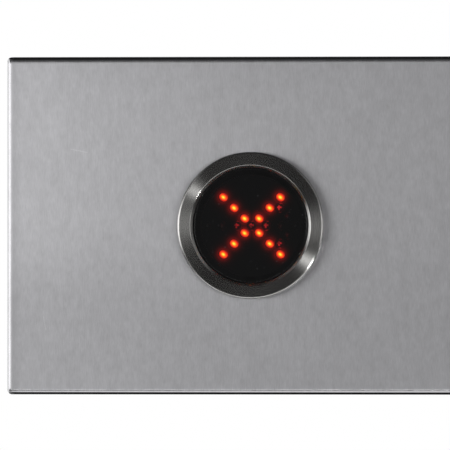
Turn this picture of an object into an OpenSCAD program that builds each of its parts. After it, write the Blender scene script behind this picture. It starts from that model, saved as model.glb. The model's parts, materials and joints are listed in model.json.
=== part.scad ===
// Pedestrian push button: a folded stainless housing for a wall or pole, with a round
// spring-loaded lens in a turned bezel and a red cross and arrow of small lamps behind it.
//
// The unit is drawn lying on its back, wall side down at z = 0, with y up the housing.
// stand_up() turns it so that it faces -Y, with +Z up and the origin on the wall plane.

/* [Housing] */
// Width of the front cover
cover_w = 167; // [138:1:220]
// Height of the front cover
cover_h = 115; // [100:1:160]
// Distance from the wall to the front of the cover
cover_d = 50; // [48:1:80]
// Thickness of the stainless sheet
sheet_t = 1.5; // [1.2:0.1:2]
// Inside radius of the cover's folds
fold_r = 0.3; // [0.2:0.1:1]
// Thickness of the rubber sheet between the housing and the wall
wall_gasket_t = 3; // [2:0.5:5]
// Height of the brackets that hold the cover's top and bottom
bracket_h = 14.5; // [13:0.5:20]
// Gap between the cover's sides and the back plate with its brackets
cover_gap = 0.4; // [0.3:0.1:0.8]

/* [Fixing to the wall] */
// Radius of the four wall bolt holes
wall_hole_r = 2.75; // [2.2:0.05:3.3]
// Distance of the wall bolt holes from the cover's left and right sides
wall_hole_side = 15.5; // [12:0.5:20]
// Distance of the wall bolt holes from the cover's top and bottom
wall_hole_end = 14.5; // [12:0.5:20]
// Radius of the cable bore in the rear grommet
cable_r = 4.5; // [3:0.25:5.5]

/* [Button] */
// Diameter of the lens that is pressed
lens_d = 39; // [36:0.2:47]
// Thickness of the lens
lens_t = 2.2; // [1.6:0.1:2.6]
// Travel of the button
travel = 1.5; // [1:0.1:2.4]
// Radial gap between the lens and the bezel's lip
lens_gap = 0.3; // [0.2:0.05:0.5]
// Diameter of the return spring's wire
spring_wire = 0.9; // [0.6:0.1:1.2]

/* [Bezel] */
// Width of the lip that keeps the button in
lip_w = 1.6; // [1.4:0.1:2.4]
// Wall of the threaded barrel behind the lip
barrel_wall = 1.6; // [1.5:0.1:2.5]
// How far the bezel's flange reaches past its barrel
flange_overhang = 2; // [1.6:0.1:4]
// Thickness of the bezel's flange
flange_t = 2; // [1.6:0.1:3]
// Length of the barrel behind the flange
barrel_len = 18.8; // [18:0.1:20]
// Width of the chamfer round the lens
lip_chamfer = 0.8; // [0.4:0.05:1.2]
// Radius of the bezel's outer edge
flange_round = 0.9; // [0.4:0.05:1.2]

/* [Lamps] */
// Diameter of one lamp
lamp_d = 3; // [2.6:0.1:3]
// Height of one lamp above its board
lamp_h = 5.3; // [4.5:0.1:6]

/* [Hidden] */
$fn = 96;
eps = 0.01;      // overlap that keeps cuts clean
thread_gap = 0.05; // radial gap between a screw and its nut or pilot hole

// Housing
edge_r = sheet_t + fold_r;
inner_z = cover_d - sheet_t;
back_w = cover_w - 2 * (sheet_t + cover_gap);
back_h = cover_h - 2 * (sheet_t + cover_gap);
back_z = wall_gasket_t;
back_front = back_z + sheet_t;
bracket_foot = 6;
bracket_end = 8;
weep_r = 1.5;
weep_x = cover_w / 2 - 12;
weep_z = back_front + 2.5;

// Cover screws, M4 countersunk, through the top and bottom folds
cover_screw_x = cover_w / 2 - 28;
cover_screw_z = back_front + 7.5;
m4_r = 2;
m4_head_r = 3.7;
m4_cone = m4_head_r - m4_r;
m4_len = 9;
cover_nut_r = 4;
cover_nut_t = 3.2;
head_gap = 0.1;

// Rear cable entry
grommet_wall = 4;
grommet_lip = 2.5;
grommet_lip_t = 2;
grommet_r = cable_r + grommet_wall;
entry_y = bracket_foot + grommet_r + grommet_lip + 0.6 - back_h / 2;

// Bezel, from the front of the cover
bezel_gasket_t = 0.8;
bezel_back = cover_d + bezel_gasket_t;
bezel_front = bezel_back + flange_t;
lens_r = lens_d / 2;
lip_r = lens_r + lens_gap;
bore_r = lip_r + lip_w;
barrel_r = bore_r + barrel_wall;
flange_r = barrel_r + flange_overhang;
barrel_back = bezel_back - barrel_len;
lip_t = 1;
lip_back = bezel_back - lip_t;
hole_gap = 0.25;
key_w = 2.6;
key_h = 1.1;
key_gap = 0.2;
thread_pitch = 1.5;
thread_depth = 0.7;
thread_turns = 9;
washer_t = 1;
washer_w = 4;
nut_t = 4.5;
nut_w = 5.5;
nut_front = inner_z - washer_t;

// Button
stop_gap = 0.1;
carrier_gap = 0.25;
carrier_r = bore_r - carrier_gap;
carrier_front = lip_back - stop_gap;
lens_seat = 0.15;
lens_back = carrier_front - lens_seat;
web_t = 3;
web_back = carrier_front - web_t;
skirt_len = 6.7;
skirt_back = carrier_front - skirt_len;
skirt_wall = 2.25;
skirt_r = carrier_r - skirt_wall;
o_ring_d = 1.5;
o_ring_z = carrier_front - 1.6;
groove_w = 1.6;
groove_r = bore_r - thread_gap - o_ring_d - 0.05;
leg_t = 1.9;
leg_w = 5;
leg_r = carrier_r - 0.15 - leg_t / 2;
leg_gap = 0.3;

// Return spring round the pedestal
spring_r = skirt_r - 0.3 - spring_wire / 2;
spring_turns = 5;
spring_steps = 22;
spring_sides = 8;
spring_dead = 0.75;

// Lamps and their board
pedestal_r = spring_r - spring_wire / 2 - 0.6;
pedestal_wall = 3;
mask_r = pedestal_r - 0.1;
web_r = mask_r + 0.4;
board_t = 1.6;
lamp_gap = 0.55;
lamp_tip = lens_back - travel - lamp_gap;
lamp_base = lamp_tip - lamp_h;
lamp_board_back = lamp_base - board_t;
lamp_r = lamp_d / 2;
lamp_foot_r = lamp_r + 0.1;
lamp_foot_t = 1;
lamp_proud = 0.6;
mask_front = lamp_tip - lamp_proud;
mask_back = lamp_base + lamp_foot_t + 0.2;
mask_hole_r = lamp_r + 0.12;
lamp_edge = 1.9;
arrow_pitch = (mask_r - lamp_edge) / 3;
cross_first = 0.49 * arrow_pitch;
cross_step = 0.72 * arrow_pitch;
head_step = [-0.55, 0.605] * arrow_pitch;
cross_spots = [for (i = [0:2], sx = [-1, 1], sy = [-1, 1])
    (cross_first + i * cross_step) * [sx, sy]];
arrow_spots = concat(
    [for (i = [-3:3]) [i * arrow_pitch, 0]],
    [for (i = [1, 2], s = [-1, 1]) [3 * arrow_pitch + i * head_step[0], i * head_step[1] * s]]);
mask_screw_y = mask_r - 3.7;
m2_r = 1;
m2_head_r = 1.9;
m2_head_t = 1.4;
mask_post_r = 2.3;

// Switch body behind the barrel
slip_gap = 0.2;
body_r = barrel_r + 3;
floor_t = 2.5;
floor_back = barrel_back - floor_t;
slip_len = 7;
body_rim = barrel_back + slip_len;
floor_hole_r = pedestal_r - 5;
set_screw_z = barrel_back + slip_len / 2;
set_screw_r = 1.5;
pillar_r = 2.6;
pillar_xy = (body_r - pillar_r) / sqrt(2) - 0.1;
m3_r = 1.5;
m3_head_r = 2.75;
m3_head_t = 2.2;

// Switches and control board
leg_reach = 2.5;
leg_back = floor_back - leg_reach;
plunger_r = 1.2;
plunger_gap = 0.2;
plunger_front = leg_back - plunger_gap;
plunger_len = 3.2;
case_front = plunger_front - travel - stop_gap;
case_h = 6.6;
case_w = 6;
case_l = 12.8;
control_front = case_front - case_h;
control_back = control_front - board_t;
control_w = 2 * body_r + 4;
control_h = 2 * body_r - 2;
switch_pin_pitch = 4.4;
pin_tail = 0.8;

// Board link
link_y = mask_screw_y - 3.9;
link_pitch = 2.54;
link_ways = 5;
link_pin = 0.64;
link_h = 2.5;
link_hole_r = 0.5;

// Terminal block
ways = 5;
way_pitch = 5.08;
block_w = ways * way_pitch + 0.4;
block_l = 10;
block_h = 10;
block_y = 2 - control_h / 2 + block_l / 2;
block_back = control_back - block_h;

// Earth bond
earth_x = cover_w / 2 - 35;
earth_y = 19.5 - cover_h / 2;
earth_stud_len = 9;
lug_t = 0.8;
lug_r = 4;
lug_tail = 12;
crimp_r = 1.6;
crimp_len = 5;
lead_r = 1.2;
lead_sides = 8;
lead_steps = 6;
// Route of the lead between its crimps: [height above the crimps' ends, share of the way to the cover]
lead_route = [[0, 0], [4, 0], [8, 0], [20, 0.06], [29, 0.22], [33, 0.45], [31, 0.68], [24, 0.88], [14, 0.98],
    [8, 1], [4, 1], [0, 1]];

// ---- shared shapes ----

module stand_up() {
    rotate([90, 0, 0]) children();
}

module disc(r, z0, z1) {
    translate([0, 0, z0]) cylinder(r = r, h = z1 - z0);
}

module ring(r_out, r_in, z0, z1) {
    difference() {
        disc(r_out, z0, z1);
        disc(r_in, z0 - eps, z1 + eps);
    }
}

module block(w, h, z0, z1) {
    translate([-w / 2, -h / 2, z0]) cube([w, h, z1 - z0]);
}

// Points along an arc, from angle a to angle b
function arc(c, r, a, b, n = 6) = [for (i = [0:n]) let (q = a + (b - a) * i / n) c + r * [cos(q), sin(q)]];

function rounded_rect(w, h, r) = concat(
    arc([w / 2 - r, h / 2 - r], r, 0, 90), arc([r - w / 2, h / 2 - r], r, 90, 180),
    arc([r - w / 2, r - h / 2], r, 180, 270), arc([w / 2 - r, r - h / 2], r, 270, 360));

module plate(w, h, r, z0, z1) {
    translate([0, 0, z0]) linear_extrude(z1 - z0) polygon(rounded_rect(w, h, r));
}

module at_corners(x, y) {
    for (sx = [-1, 1], sy = [-1, 1]) translate([sx * x, sy * y, 0]) children();
}

// A closed tube of flat sides through a list of rings of points
module skin(rings) {
    sides = len(rings[0]);
    last = len(rings) - 1;
    polyhedron(
        points = [for (r = rings, p = r) p],
        faces = concat(
            [[for (j = [0:sides - 1]) j]],
            [for (i = [0:last - 1], j = [0:sides - 1])
                let (k = (j + 1) % sides)
                [i * sides + j, (i + 1) * sides + j, (i + 1) * sides + k, i * sides + k]],
            [[for (j = [sides - 1:-1:0]) last * sides + j]]));
}

// ---- housing ----

// Side view of the folded cover, w wide
function fold_section(w) = let (r = edge_r) concat(
    [[-w / 2, wall_gasket_t], [w / 2, wall_gasket_t]],
    arc([w / 2 - r, cover_d - r], r, 0, 90), arc([r - w / 2, cover_d - r], r, 90, 180));

// Block whose front edges and corners are rounded as a folded sheet's are
module folded_block() {
    intersection() {
        plate(cover_w, cover_h, edge_r, wall_gasket_t, cover_d);
        translate([0, cover_h / 2, 0]) rotate([90, 0, 0])
            linear_extrude(cover_h) polygon(fold_section(cover_w));
        translate([-cover_w / 2, 0, 0]) rotate([90, 0, 90])
            linear_extrude(cover_w) polygon(fold_section(cover_h));
    }
}

// Places a child at each cover screw, with its +z along the screw, pointing into the housing
module at_cover_screws() {
    for (sx = [-1, 1], top = [0, 1])
        translate([sx * cover_screw_x, (top * 2 - 1) * cover_h / 2, cover_screw_z])
            rotate([top * 180 - 90, 0, 0])
                children();
}

module key_notch(gap) {
    translate([-key_w / 2 - gap, -barrel_r - key_h - gap, cover_d - sheet_t - 1])
        cube([key_w + 2 * gap, key_h + gap + 2, sheet_t + bezel_gasket_t + 2]);
}

module front_cover() {
    color("silver") stand_up() difference() {
        folded_block();
        plate(cover_w - 2 * sheet_t, cover_h - 2 * sheet_t, fold_r, wall_gasket_t - 1, inner_z);
        disc(barrel_r + hole_gap, inner_z - 1, cover_d + 1);
        key_notch(key_gap);
        at_cover_screws() {
            translate([0, 0, -1]) cylinder(r = m4_r + 0.2, h = sheet_t + 2);
            cylinder(r1 = m4_head_r + head_gap, r2 = m4_r, h = m4_cone + head_gap);
        }
        for (s = [-1, 1])
            translate([s * weep_x, -cover_h / 2 - 1, weep_z])
                rotate([-90, 0, 0]) cylinder(r = weep_r, h = sheet_t + 2);
    }
}

module cover_screws() {
    socket_r = 1.3;
    color("gainsboro") stand_up() at_cover_screws() difference() {
        union() {
            cylinder(r1 = m4_head_r, r2 = m4_r, h = m4_cone);
            cylinder(r = m4_r - thread_gap, h = m4_len);
        }
        // hexagon socket with a security pin left standing in it
        difference() {
            translate([0, 0, -1]) cylinder(r = socket_r, h = 2.2, $fn = 6);
            translate([0, 0, -2]) cylinder(r = 0.45, h = 5);
        }
    }
}

module cover_nuts() {
    color("darkgray") stand_up() at_cover_screws()
        translate([0, 0, 2 * sheet_t + cover_gap]) difference() {
            cylinder(r = cover_nut_r, h = cover_nut_t);
            translate([0, 0, -1]) cylinder(r = m4_r, h = cover_nut_t + 2);
        }
}

module back_plate() {
    color("lightgray") stand_up() difference() {
        plate(back_w, back_h, fold_r + 1, back_z, back_front);
        at_corners(cover_w / 2 - wall_hole_side, cover_h / 2 - wall_hole_end)
            disc(wall_hole_r, back_z - 1, back_front + 1);
        translate([0, entry_y, 0]) disc(grommet_r, back_z - 1, back_front + 1);
    }
}

// Cross-section of one bracket, foot on the back plate, upright along the cover's fold
module bracket_section() {
    r_out = sheet_t + fold_r;
    polygon(concat(
        [[bracket_foot, 0], [bracket_foot, sheet_t]], arc([r_out, r_out], fold_r, 270, 180),
        [[sheet_t, bracket_h], [0, bracket_h]], arc([r_out, r_out], r_out, 180, 270)));
}

module cover_brackets() {
    l = 2 * (cover_screw_x + bracket_end);
    color("gainsboro") stand_up() difference() {
        for (s = [-1, 1])
            translate([-l / 2, s * back_h / 2, back_front])
                rotate([90, 0, 90]) linear_extrude(l) mirror([s > 0 ? 1 : 0, 0]) bracket_section();
        at_cover_screws() cylinder(r = m4_r + 0.25, h = 2 * sheet_t + cover_gap + 1);
    }
}

module wall_gasket() {
    color("dimgray") stand_up() difference() {
        plate(cover_w, cover_h, edge_r, 0, wall_gasket_t);
        at_corners(cover_w / 2 - wall_hole_side, cover_h / 2 - wall_hole_end)
            disc(wall_hole_r + 0.5, -1, wall_gasket_t + 1);
        translate([0, entry_y, 0]) disc(grommet_r + grommet_lip + 1, -1, wall_gasket_t + 1);
    }
}

module cable_grommet() {
    rim_r = grommet_r + grommet_lip;
    color("black") stand_up() translate([0, entry_y, 0]) difference() {
        union() {
            disc(rim_r, back_z - grommet_lip_t, back_z);
            disc(grommet_r - thread_gap, back_z - eps, back_front + eps);
            disc(rim_r, back_front, back_front + grommet_lip_t);
        }
        disc(cable_r, back_z - grommet_lip_t - 1, back_front + grommet_lip_t + 1);
    }
}

// ---- bezel ----

module bezel_ring() {
    thread_front = inner_z - 1;
    color("silver") stand_up() union() {
        rotate_extrude() polygon(concat(
            [[bore_r, barrel_back], [bore_r, lip_back], [lip_r, lip_back],
             [lip_r, bezel_front - lip_chamfer], [lip_r + lip_chamfer, bezel_front]],
            arc([flange_r - flange_round, bezel_front - flange_round], flange_round, 90, 0),
            [[flange_r, bezel_back], [barrel_r, bezel_back]],
            [for (i = [0:thread_turns - 1], p = [0, 0.2, 0.5, 0.7])
                [barrel_r - ((p == 0 || p == 0.7) ? 0 : thread_depth),
                 thread_front - (i + p) * thread_pitch]],
            [[barrel_r, barrel_back]]));
        translate([-key_w / 2, -barrel_r - key_h, inner_z + 0.1])
            cube([key_w, key_h + 0.8, bezel_back - inner_z]);
    }
}

module bezel_gasket() {
    color("black") stand_up() difference() {
        ring(flange_r - 0.4, barrel_r + 0.1, cover_d, bezel_back);
        key_notch(0.1);
    }
}

module lock_washer() {
    teeth = 24;
    outer = barrel_r + hole_gap + washer_w;
    color("lightsteelblue") stand_up() difference() {
        ring(outer, barrel_r + hole_gap, nut_front, inner_z);
        for (i = [0:teeth - 1])
            rotate([0, 0, i * 360 / teeth])
                translate([outer - 1, -0.8, nut_front - 1]) cube([2, 1.6, washer_t + 2]);
    }
}

module bezel_nut() {
    slots = 6;
    outer = barrel_r + nut_w;
    bevel = 0.8;
    color("lightsteelblue") stand_up() difference() {
        rotate_extrude() polygon([
            [barrel_r + thread_gap, nut_front - nut_t], [outer - bevel, nut_front - nut_t],
            [outer, nut_front - nut_t + bevel], [outer, nut_front], [barrel_r + thread_gap, nut_front]]);
        for (i = [0:slots - 1])
            rotate([0, 0, i * 360 / slots])
                translate([outer - 2.5, -2.5, nut_front - nut_t - 1]) cube([4, 5, nut_t + 2]);
    }
}

// ---- button ----

module lens() {
    bevel = 0.35;
    front = lens_back + lens_t;
    color([0.08, 0.08, 0.09]) stand_up() rotate_extrude() polygon([
        [0, lens_back], [lens_r, lens_back], [lens_r, front - bevel], [lens_r - bevel, front], [0, front]]);
}

module lens_carrier() {
    color([0.12, 0.12, 0.12]) stand_up() difference() {
        union() {
            rotate_extrude() polygon([
                [web_r, web_back], [web_r, lens_back], [lens_r + 0.05, lens_back],
                [lens_r + 0.05, carrier_front], [carrier_r, carrier_front],
                [carrier_r, o_ring_z + groove_w / 2], [groove_r, o_ring_z + groove_w / 2],
                [groove_r, o_ring_z - groove_w / 2], [carrier_r, o_ring_z - groove_w / 2],
                [carrier_r, skirt_back], [skirt_r, skirt_back], [skirt_r, web_back]]);
            for (s = [-1, 1])
                translate([s * leg_r - leg_t / 2, -leg_w / 2, leg_back])
                    cube([leg_t, leg_w, skirt_back - leg_back + 1]);
        }
        // relief that keeps the legs' feet narrower than the switch plungers' guide
        for (s = [-1, 1])
            translate([s * leg_r, 0, leg_back])
                for (t = [-1, 1])
                    translate([-2, t * leg_w / 2 - 1, -1]) cube([4, 2, 1.6]);
    }
}

module carrier_o_ring() {
    color([0.05, 0.05, 0.05]) stand_up() rotate_extrude()
        translate([bore_r - thread_gap - o_ring_d / 2, o_ring_z]) circle(r = o_ring_d / 2, $fn = 32);
}

// Height of the spring's wire after a number of turns: closed at both ends, open between
function spring_height(t, low, high) =
    let (dead = spring_dead * spring_wire, open = spring_turns - 2 * spring_dead)
    t < spring_dead ? low + t * spring_wire
    : t > spring_turns - spring_dead ? high - (spring_turns - t) * spring_wire
    : low + dead + (t - spring_dead) / open * (high - low - 2 * dead);

module return_spring() {
    low = barrel_back + spring_wire / 2;
    high = web_back - spring_wire / 2;
    steps = spring_turns * spring_steps;
    color("silver") stand_up() skin([for (i = [0:steps])
        let (t = i / spring_steps, z = spring_height(t, low, high), a = 360 * t + 90)
        [for (j = [0:spring_sides - 1])
            let (b = 360 * j / spring_sides, r = spring_r + spring_wire / 2 * cos(b))
            [r * cos(a), r * sin(a), z + spring_wire / 2 * sin(b)]]]);
}

// ---- switch body and lamps ----

module at_mask_screws() {
    for (s = [-1, 1]) translate([0, s * mask_screw_y, 0]) children();
}

module at_set_screws() {
    for (a = [90, 210, 330])
        rotate([0, 0, a]) translate([barrel_r + 0.02, 0, set_screw_z]) rotate([0, 90, 0]) children();
}

module switch_body() {
    color([0.15, 0.15, 0.16]) stand_up() difference() {
        union() {
            disc(body_r, floor_back, barrel_back);
            ring(body_r, barrel_r + slip_gap, barrel_back - eps, body_rim);
            ring(pedestal_r, pedestal_r - pedestal_wall, barrel_back - eps, lamp_board_back);
            at_mask_screws() disc(2.6, barrel_back - eps, lamp_board_back);
            at_corners(pillar_xy, pillar_xy) disc(pillar_r, control_front, floor_back + eps);
        }
        disc(floor_hole_r, floor_back - 1, barrel_back + 1);
        for (s = [-1, 1])
            translate([s * leg_r - leg_t / 2 - leg_gap, -leg_w / 2 - leg_gap, floor_back - 1])
                cube([leg_t + 2 * leg_gap, leg_w + 2 * leg_gap, floor_t + 2]);
        at_mask_screws() disc(m2_r, lamp_board_back - 6, lamp_board_back + 1);
        at_corners(pillar_xy, pillar_xy) disc(m3_r, control_front - 1, control_front + 8);
        at_set_screws() cylinder(r = set_screw_r + thread_gap, h = body_r);
    }
}

module set_screws() {
    color("darkgray") stand_up() at_set_screws() difference() {
        cylinder(r = set_screw_r, h = 3.6);
        translate([0, 0, 1.8]) cylinder(r = 0.85, h = 3, $fn = 6);
    }
}

module lamp_mask() {
    color([0.05, 0.05, 0.05]) stand_up() difference() {
        union() {
            disc(mask_r, mask_back, mask_front);
            at_mask_screws() disc(mask_post_r, lamp_base, mask_back + eps);
        }
        for (p = concat(cross_spots, arrow_spots))
            translate([p[0], p[1], 0]) disc(mask_hole_r, mask_back - 1, mask_front + 1);
        at_mask_screws() {
            disc(m2_r + 0.1, lamp_base - 1, mask_front + 1);
            disc(m2_head_r + 0.15, mask_front - m2_head_t - 0.3, mask_front + 1);
        }
    }
}

module lamps(spots) {
    for (p = spots)
        translate([p[0], p[1], lamp_base]) rotate_extrude() polygon(concat(
            [[0, 0], [lamp_foot_r, 0], [lamp_foot_r, lamp_foot_t], [lamp_r, lamp_foot_t]],
            [for (q = arc([0, lamp_h - lamp_r], lamp_r, 0, 90)) q]));
}

module cross_lamps() {
    color("red") stand_up() lamps(cross_spots);
}

module arrow_lamps() {
    color([0.75, 0.8, 0.75]) stand_up() lamps(arrow_spots);
}

// Places a child at each pin of the two rows that join the boards
module at_link_pins() {
    for (s = [-1, 1], i = [0:link_ways - 1])
        translate([(i - (link_ways - 1) / 2) * link_pitch, s * link_y, 0]) children();
}

module lamp_board() {
    color("darkgreen") stand_up() difference() {
        disc(pedestal_r, lamp_board_back, lamp_base);
        at_mask_screws() disc(m2_r + 0.1, lamp_board_back - 1, lamp_base + 1);
        at_link_pins() disc(link_hole_r, lamp_board_back - 1, lamp_base + 1);
    }
}

module lamp_board_screws() {
    head_back = mask_front - m2_head_t - 0.3;
    color([0.1, 0.1, 0.1]) stand_up() at_mask_screws() difference() {
        union() {
            disc(m2_head_r, head_back, head_back + m2_head_t);
            disc(m2_r - thread_gap, lamp_board_back - 5, head_back + eps);
        }
        for (a = [0, 90])
            rotate([0, 0, a]) block(0.5, 2.4, head_back + m2_head_t - 0.7, head_back + m2_head_t + 1);
    }
}

module link_headers() {
    w = link_ways * link_pitch;
    color([0.1, 0.1, 0.1]) stand_up() difference() {
        for (s = [-1, 1]) translate([0, s * link_y, 0]) {
            block(w, link_pitch - 0.1, lamp_board_back - link_h, lamp_board_back);
            block(w, link_pitch - 0.1, control_front, control_front + link_h);
        }
        at_link_pins() disc(link_hole_r, control_front - 1, lamp_board_back + 1);
    }
}

module link_pins() {
    color("gold") stand_up() at_link_pins()
        block(link_pin, link_pin, control_back - pin_tail, lamp_base + pin_tail);
}

// ---- control board ----

module at_switches() {
    for (s = [-1, 1]) translate([s * leg_r, 0, 0]) children();
}

module at_switch_pins() {
    at_switches() for (i = [-1:1]) translate([0, i * switch_pin_pitch, 0]) children();
}

module control_board() {
    color("darkgreen") stand_up() difference() {
        plate(control_w, control_h, 2, control_back, control_front);
        at_corners(pillar_xy, pillar_xy) disc(m3_r + 0.1, control_back - 1, control_front + 1);
        at_link_pins() disc(link_hole_r, control_back - 1, control_front + 1);
        at_switch_pins() disc(link_hole_r, control_back - 1, control_front + 1);
    }
}

module board_screws() {
    color("silver") stand_up() at_corners(pillar_xy, pillar_xy) difference() {
        union() {
            disc(m3_head_r, control_back - m3_head_t, control_back);
            disc(m3_r - thread_gap, control_back - eps, control_front + 7);
        }
        for (a = [0, 90])
            rotate([0, 0, a]) block(0.7, 3.4, control_back - m3_head_t - 1, control_back - m3_head_t + 1);
    }
}

module switch_cases() {
    rivet_r = 1.1;
    color([0.2, 0.2, 0.22]) stand_up() at_switches() difference() {
        block(case_w, case_l, control_front, case_front);
        disc(plunger_r + 0.1, plunger_front - plunger_len - travel - 0.1, case_front + 1);
        for (i = [-1, 1])
            translate([-case_w, i * case_l / 3, control_front + 1.9])
                rotate([0, 90, 0]) cylinder(r = rivet_r, h = 2 * case_w);
    }
}

module switch_plungers() {
    color("firebrick") stand_up() at_switches() disc(plunger_r, plunger_front - plunger_len, plunger_front);
}

module switch_pins() {
    color("gold") stand_up() at_switch_pins() disc(0.4, control_back - pin_tail, control_front);
}

module at_ways() {
    for (i = [0:ways - 1]) translate([(i - (ways - 1) / 2) * way_pitch, block_y, 0]) children();
}

module terminal_block() {
    entry_z = block_back + 4.6;
    color("seagreen") stand_up() difference() {
        translate([0, block_y, 0]) block(block_w, block_l, block_back, control_back);
        at_ways() {
            disc(1.9, block_back - 1, block_back + 3);
            disc(1.3, block_back, block_back + 7);
            translate([0, 0, entry_z]) rotate([90, 0, 0]) cylinder(r = 1.5, h = block_l);
        }
        // step along the upper rear edge, as on a moulded block
        translate([-block_w, block_y + block_l / 2 - 2, block_back - 1]) cube([2 * block_w, 4, 3]);
    }
}

module terminal_screws() {
    color("silver") stand_up() at_ways() difference() {
        union() {
            disc(1.75, block_back + 0.8, block_back + 2.8);
            disc(1.2, block_back + 0.8, block_back + 6);
        }
        block(0.6, 4, block_back, block_back + 1.6);
    }
}

module driver_chips() {
    color([0.1, 0.1, 0.1]) stand_up() for (s = [-1, 1])
        translate([s * 8, 0, 0]) block(10, 5, control_back - 1.8, control_back);
}

module reservoir_capacitor() {
    h = 8;
    color("midnightblue") stand_up() translate([0, control_h / 2 - 8, 0]) {
        disc(4, control_back - h, control_back);
    }
}

// ---- earth bond ----

module at_earth() {
    translate([earth_x, earth_y, 0]) children();
}

module earth_studs() {
    color("silver") stand_up() at_earth() {
        disc(m4_r, back_front, back_front + earth_stud_len);
        disc(m4_r, inner_z - earth_stud_len, inner_z);
    }
}

module lug(z, s) {
    tail_y = lug_tail - crimp_len;
    difference() {
        union() {
            disc(lug_r, z - lug_t / 2, z + lug_t / 2);
            translate([-2, 0, z - lug_t / 2]) cube([4, tail_y + 1, lug_t]);
            translate([0, tail_y, z + s * 1.2]) rotate([-90, 0, 0]) cylinder(r = crimp_r, h = crimp_len);
        }
        disc(m4_r + 0.1, z - 1, z + 1);
    }
}

lug_back = back_front + 0.1 + lug_t / 2;
lug_front = inner_z - 0.1 - lug_t / 2;

module earth_lugs() {
    color("gold") stand_up() at_earth() {
        lug(lug_back, 1);
        lug(lug_front, -1);
    }
}

module earth_nuts() {
    nut_r = 3.5 / cos(30);
    color("silver") stand_up() at_earth() for (z = [lug_back + 0.5, lug_front - 0.5 - cover_nut_t])
        difference() {
            translate([0, 0, z]) cylinder(r = nut_r, h = cover_nut_t, $fn = 6);
            disc(m4_r + thread_gap, z - 1, z + cover_nut_t + 1);
        }
}

// Point on a smooth curve through a list of points, at t steps along it
function smooth(p, t) = let (
    i = min(floor(t), len(p) - 2), f = t - i,
    a = p[max(i - 1, 0)], b = p[i], c = p[i + 1], d = p[min(i + 2, len(p) - 1)])
    0.5 * (2 * b + (c - a) * f + (2 * a - 5 * b + 4 * c - d) * f * f + (3 * b - a - 3 * c + d) * f * f * f);

module earth_lead() {
    low = lug_back + 1.2;
    high = lug_front - 1.2;
    path = [for (q = lead_route) [q[0] + lug_tail, low + q[1] * (high - low)]];
    steps = (len(path) - 1) * lead_steps;
    color("yellowgreen") stand_up() at_earth() skin([for (i = [0:steps])
        let (t = i / lead_steps, here = smooth(path, t),
             way = smooth(path, min(t + 0.02, len(path) - 1)) - smooth(path, max(t - 0.02, 0)),
             side = [way[1], -way[0]] / norm(way))
        [for (j = [0:lead_sides - 1])
            let (b = 360 * j / lead_sides, q = here + side * lead_r * sin(b))
            [lead_r * cos(b), q[0], q[1]]]]);
}

front_cover();
cover_screws();
cover_nuts();
back_plate();
cover_brackets();
wall_gasket();
cable_grommet();
bezel_ring();
bezel_gasket();
lock_washer();
bezel_nut();
lens();
lens_carrier();
carrier_o_ring();
return_spring();
switch_body();
set_screws();
lamp_mask();
cross_lamps();
arrow_lamps();
lamp_board();
lamp_board_screws();
link_headers();
link_pins();
control_board();
board_screws();
switch_cases();
switch_plungers();
switch_pins();
terminal_block();
terminal_screws();
driver_chips();
reservoir_capacitor();
earth_studs();
earth_lugs();
earth_nuts();
earth_lead();
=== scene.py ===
"""Looks of a wall-mounted pedestrian push button.

A folded, brushed stainless housing carries a turned bezel. A spring-loaded smoked lens sits in it,
with a lit cross and an unlit arrow of small lamps behind. Lengths in this file are millimetres.
"""
import json
import logging
import math
from collections.abc import Callable, Iterable, Sequence
from dataclasses import dataclass
from enum import Enum
from functools import reduce

import bmesh
import bpy
from mathutils import Matrix, Vector


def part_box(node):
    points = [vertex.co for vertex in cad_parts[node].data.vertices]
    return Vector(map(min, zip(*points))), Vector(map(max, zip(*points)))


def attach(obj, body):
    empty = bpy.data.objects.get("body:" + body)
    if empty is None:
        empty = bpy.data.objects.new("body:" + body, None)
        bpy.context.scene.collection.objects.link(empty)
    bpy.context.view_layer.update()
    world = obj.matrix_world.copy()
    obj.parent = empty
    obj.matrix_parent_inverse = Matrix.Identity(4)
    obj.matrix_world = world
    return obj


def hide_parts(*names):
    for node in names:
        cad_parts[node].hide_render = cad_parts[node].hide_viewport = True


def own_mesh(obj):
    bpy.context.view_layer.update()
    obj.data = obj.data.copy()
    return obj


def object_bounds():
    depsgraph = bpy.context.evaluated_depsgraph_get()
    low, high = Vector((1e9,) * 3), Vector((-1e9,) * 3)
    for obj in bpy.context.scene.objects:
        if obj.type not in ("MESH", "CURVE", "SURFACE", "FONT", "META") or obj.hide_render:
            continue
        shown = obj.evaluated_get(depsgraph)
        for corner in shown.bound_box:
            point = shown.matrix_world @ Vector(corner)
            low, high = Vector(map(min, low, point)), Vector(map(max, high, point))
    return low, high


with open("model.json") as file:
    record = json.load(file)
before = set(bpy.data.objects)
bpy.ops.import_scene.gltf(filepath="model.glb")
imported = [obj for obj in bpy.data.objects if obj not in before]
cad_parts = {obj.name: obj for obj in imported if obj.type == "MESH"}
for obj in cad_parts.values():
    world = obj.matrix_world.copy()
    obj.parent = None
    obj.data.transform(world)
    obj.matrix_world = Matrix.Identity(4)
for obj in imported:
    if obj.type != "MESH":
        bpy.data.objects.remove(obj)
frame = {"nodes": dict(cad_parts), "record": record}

MM = 0.001
CAD_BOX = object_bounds()
LOG = logging.getLogger("push_button")

Colour = tuple[float, float, float]
Point = tuple[float, float, float]
Socket = bpy.types.NodeSocket
Feed = Socket | float | int | Sequence[float]

BLACK: Colour = (0.0, 0.0, 0.0)
BRIGHT_SCRATCH: Colour = (0.95, 0.95, 0.97)
SHADED_METAL: Colour = (0.1, 0.1, 0.1)
PALE_DUST: Colour = (0.35, 0.34, 0.32)
CUT_EPOXY: Colour = (0.32, 0.30, 0.16)

ON_AXIS = 1e-6  # a smaller radius lies on the axis of a turned piece
LONGEST_ROUNDING = 0.48  # share of an edge that one rounding may take
SEAM = 0.002
FLAT_DEGREES = 0.3
CRISP_DEGREES = 32.0


# ---------------------------------------------------------------- node trees


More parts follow.
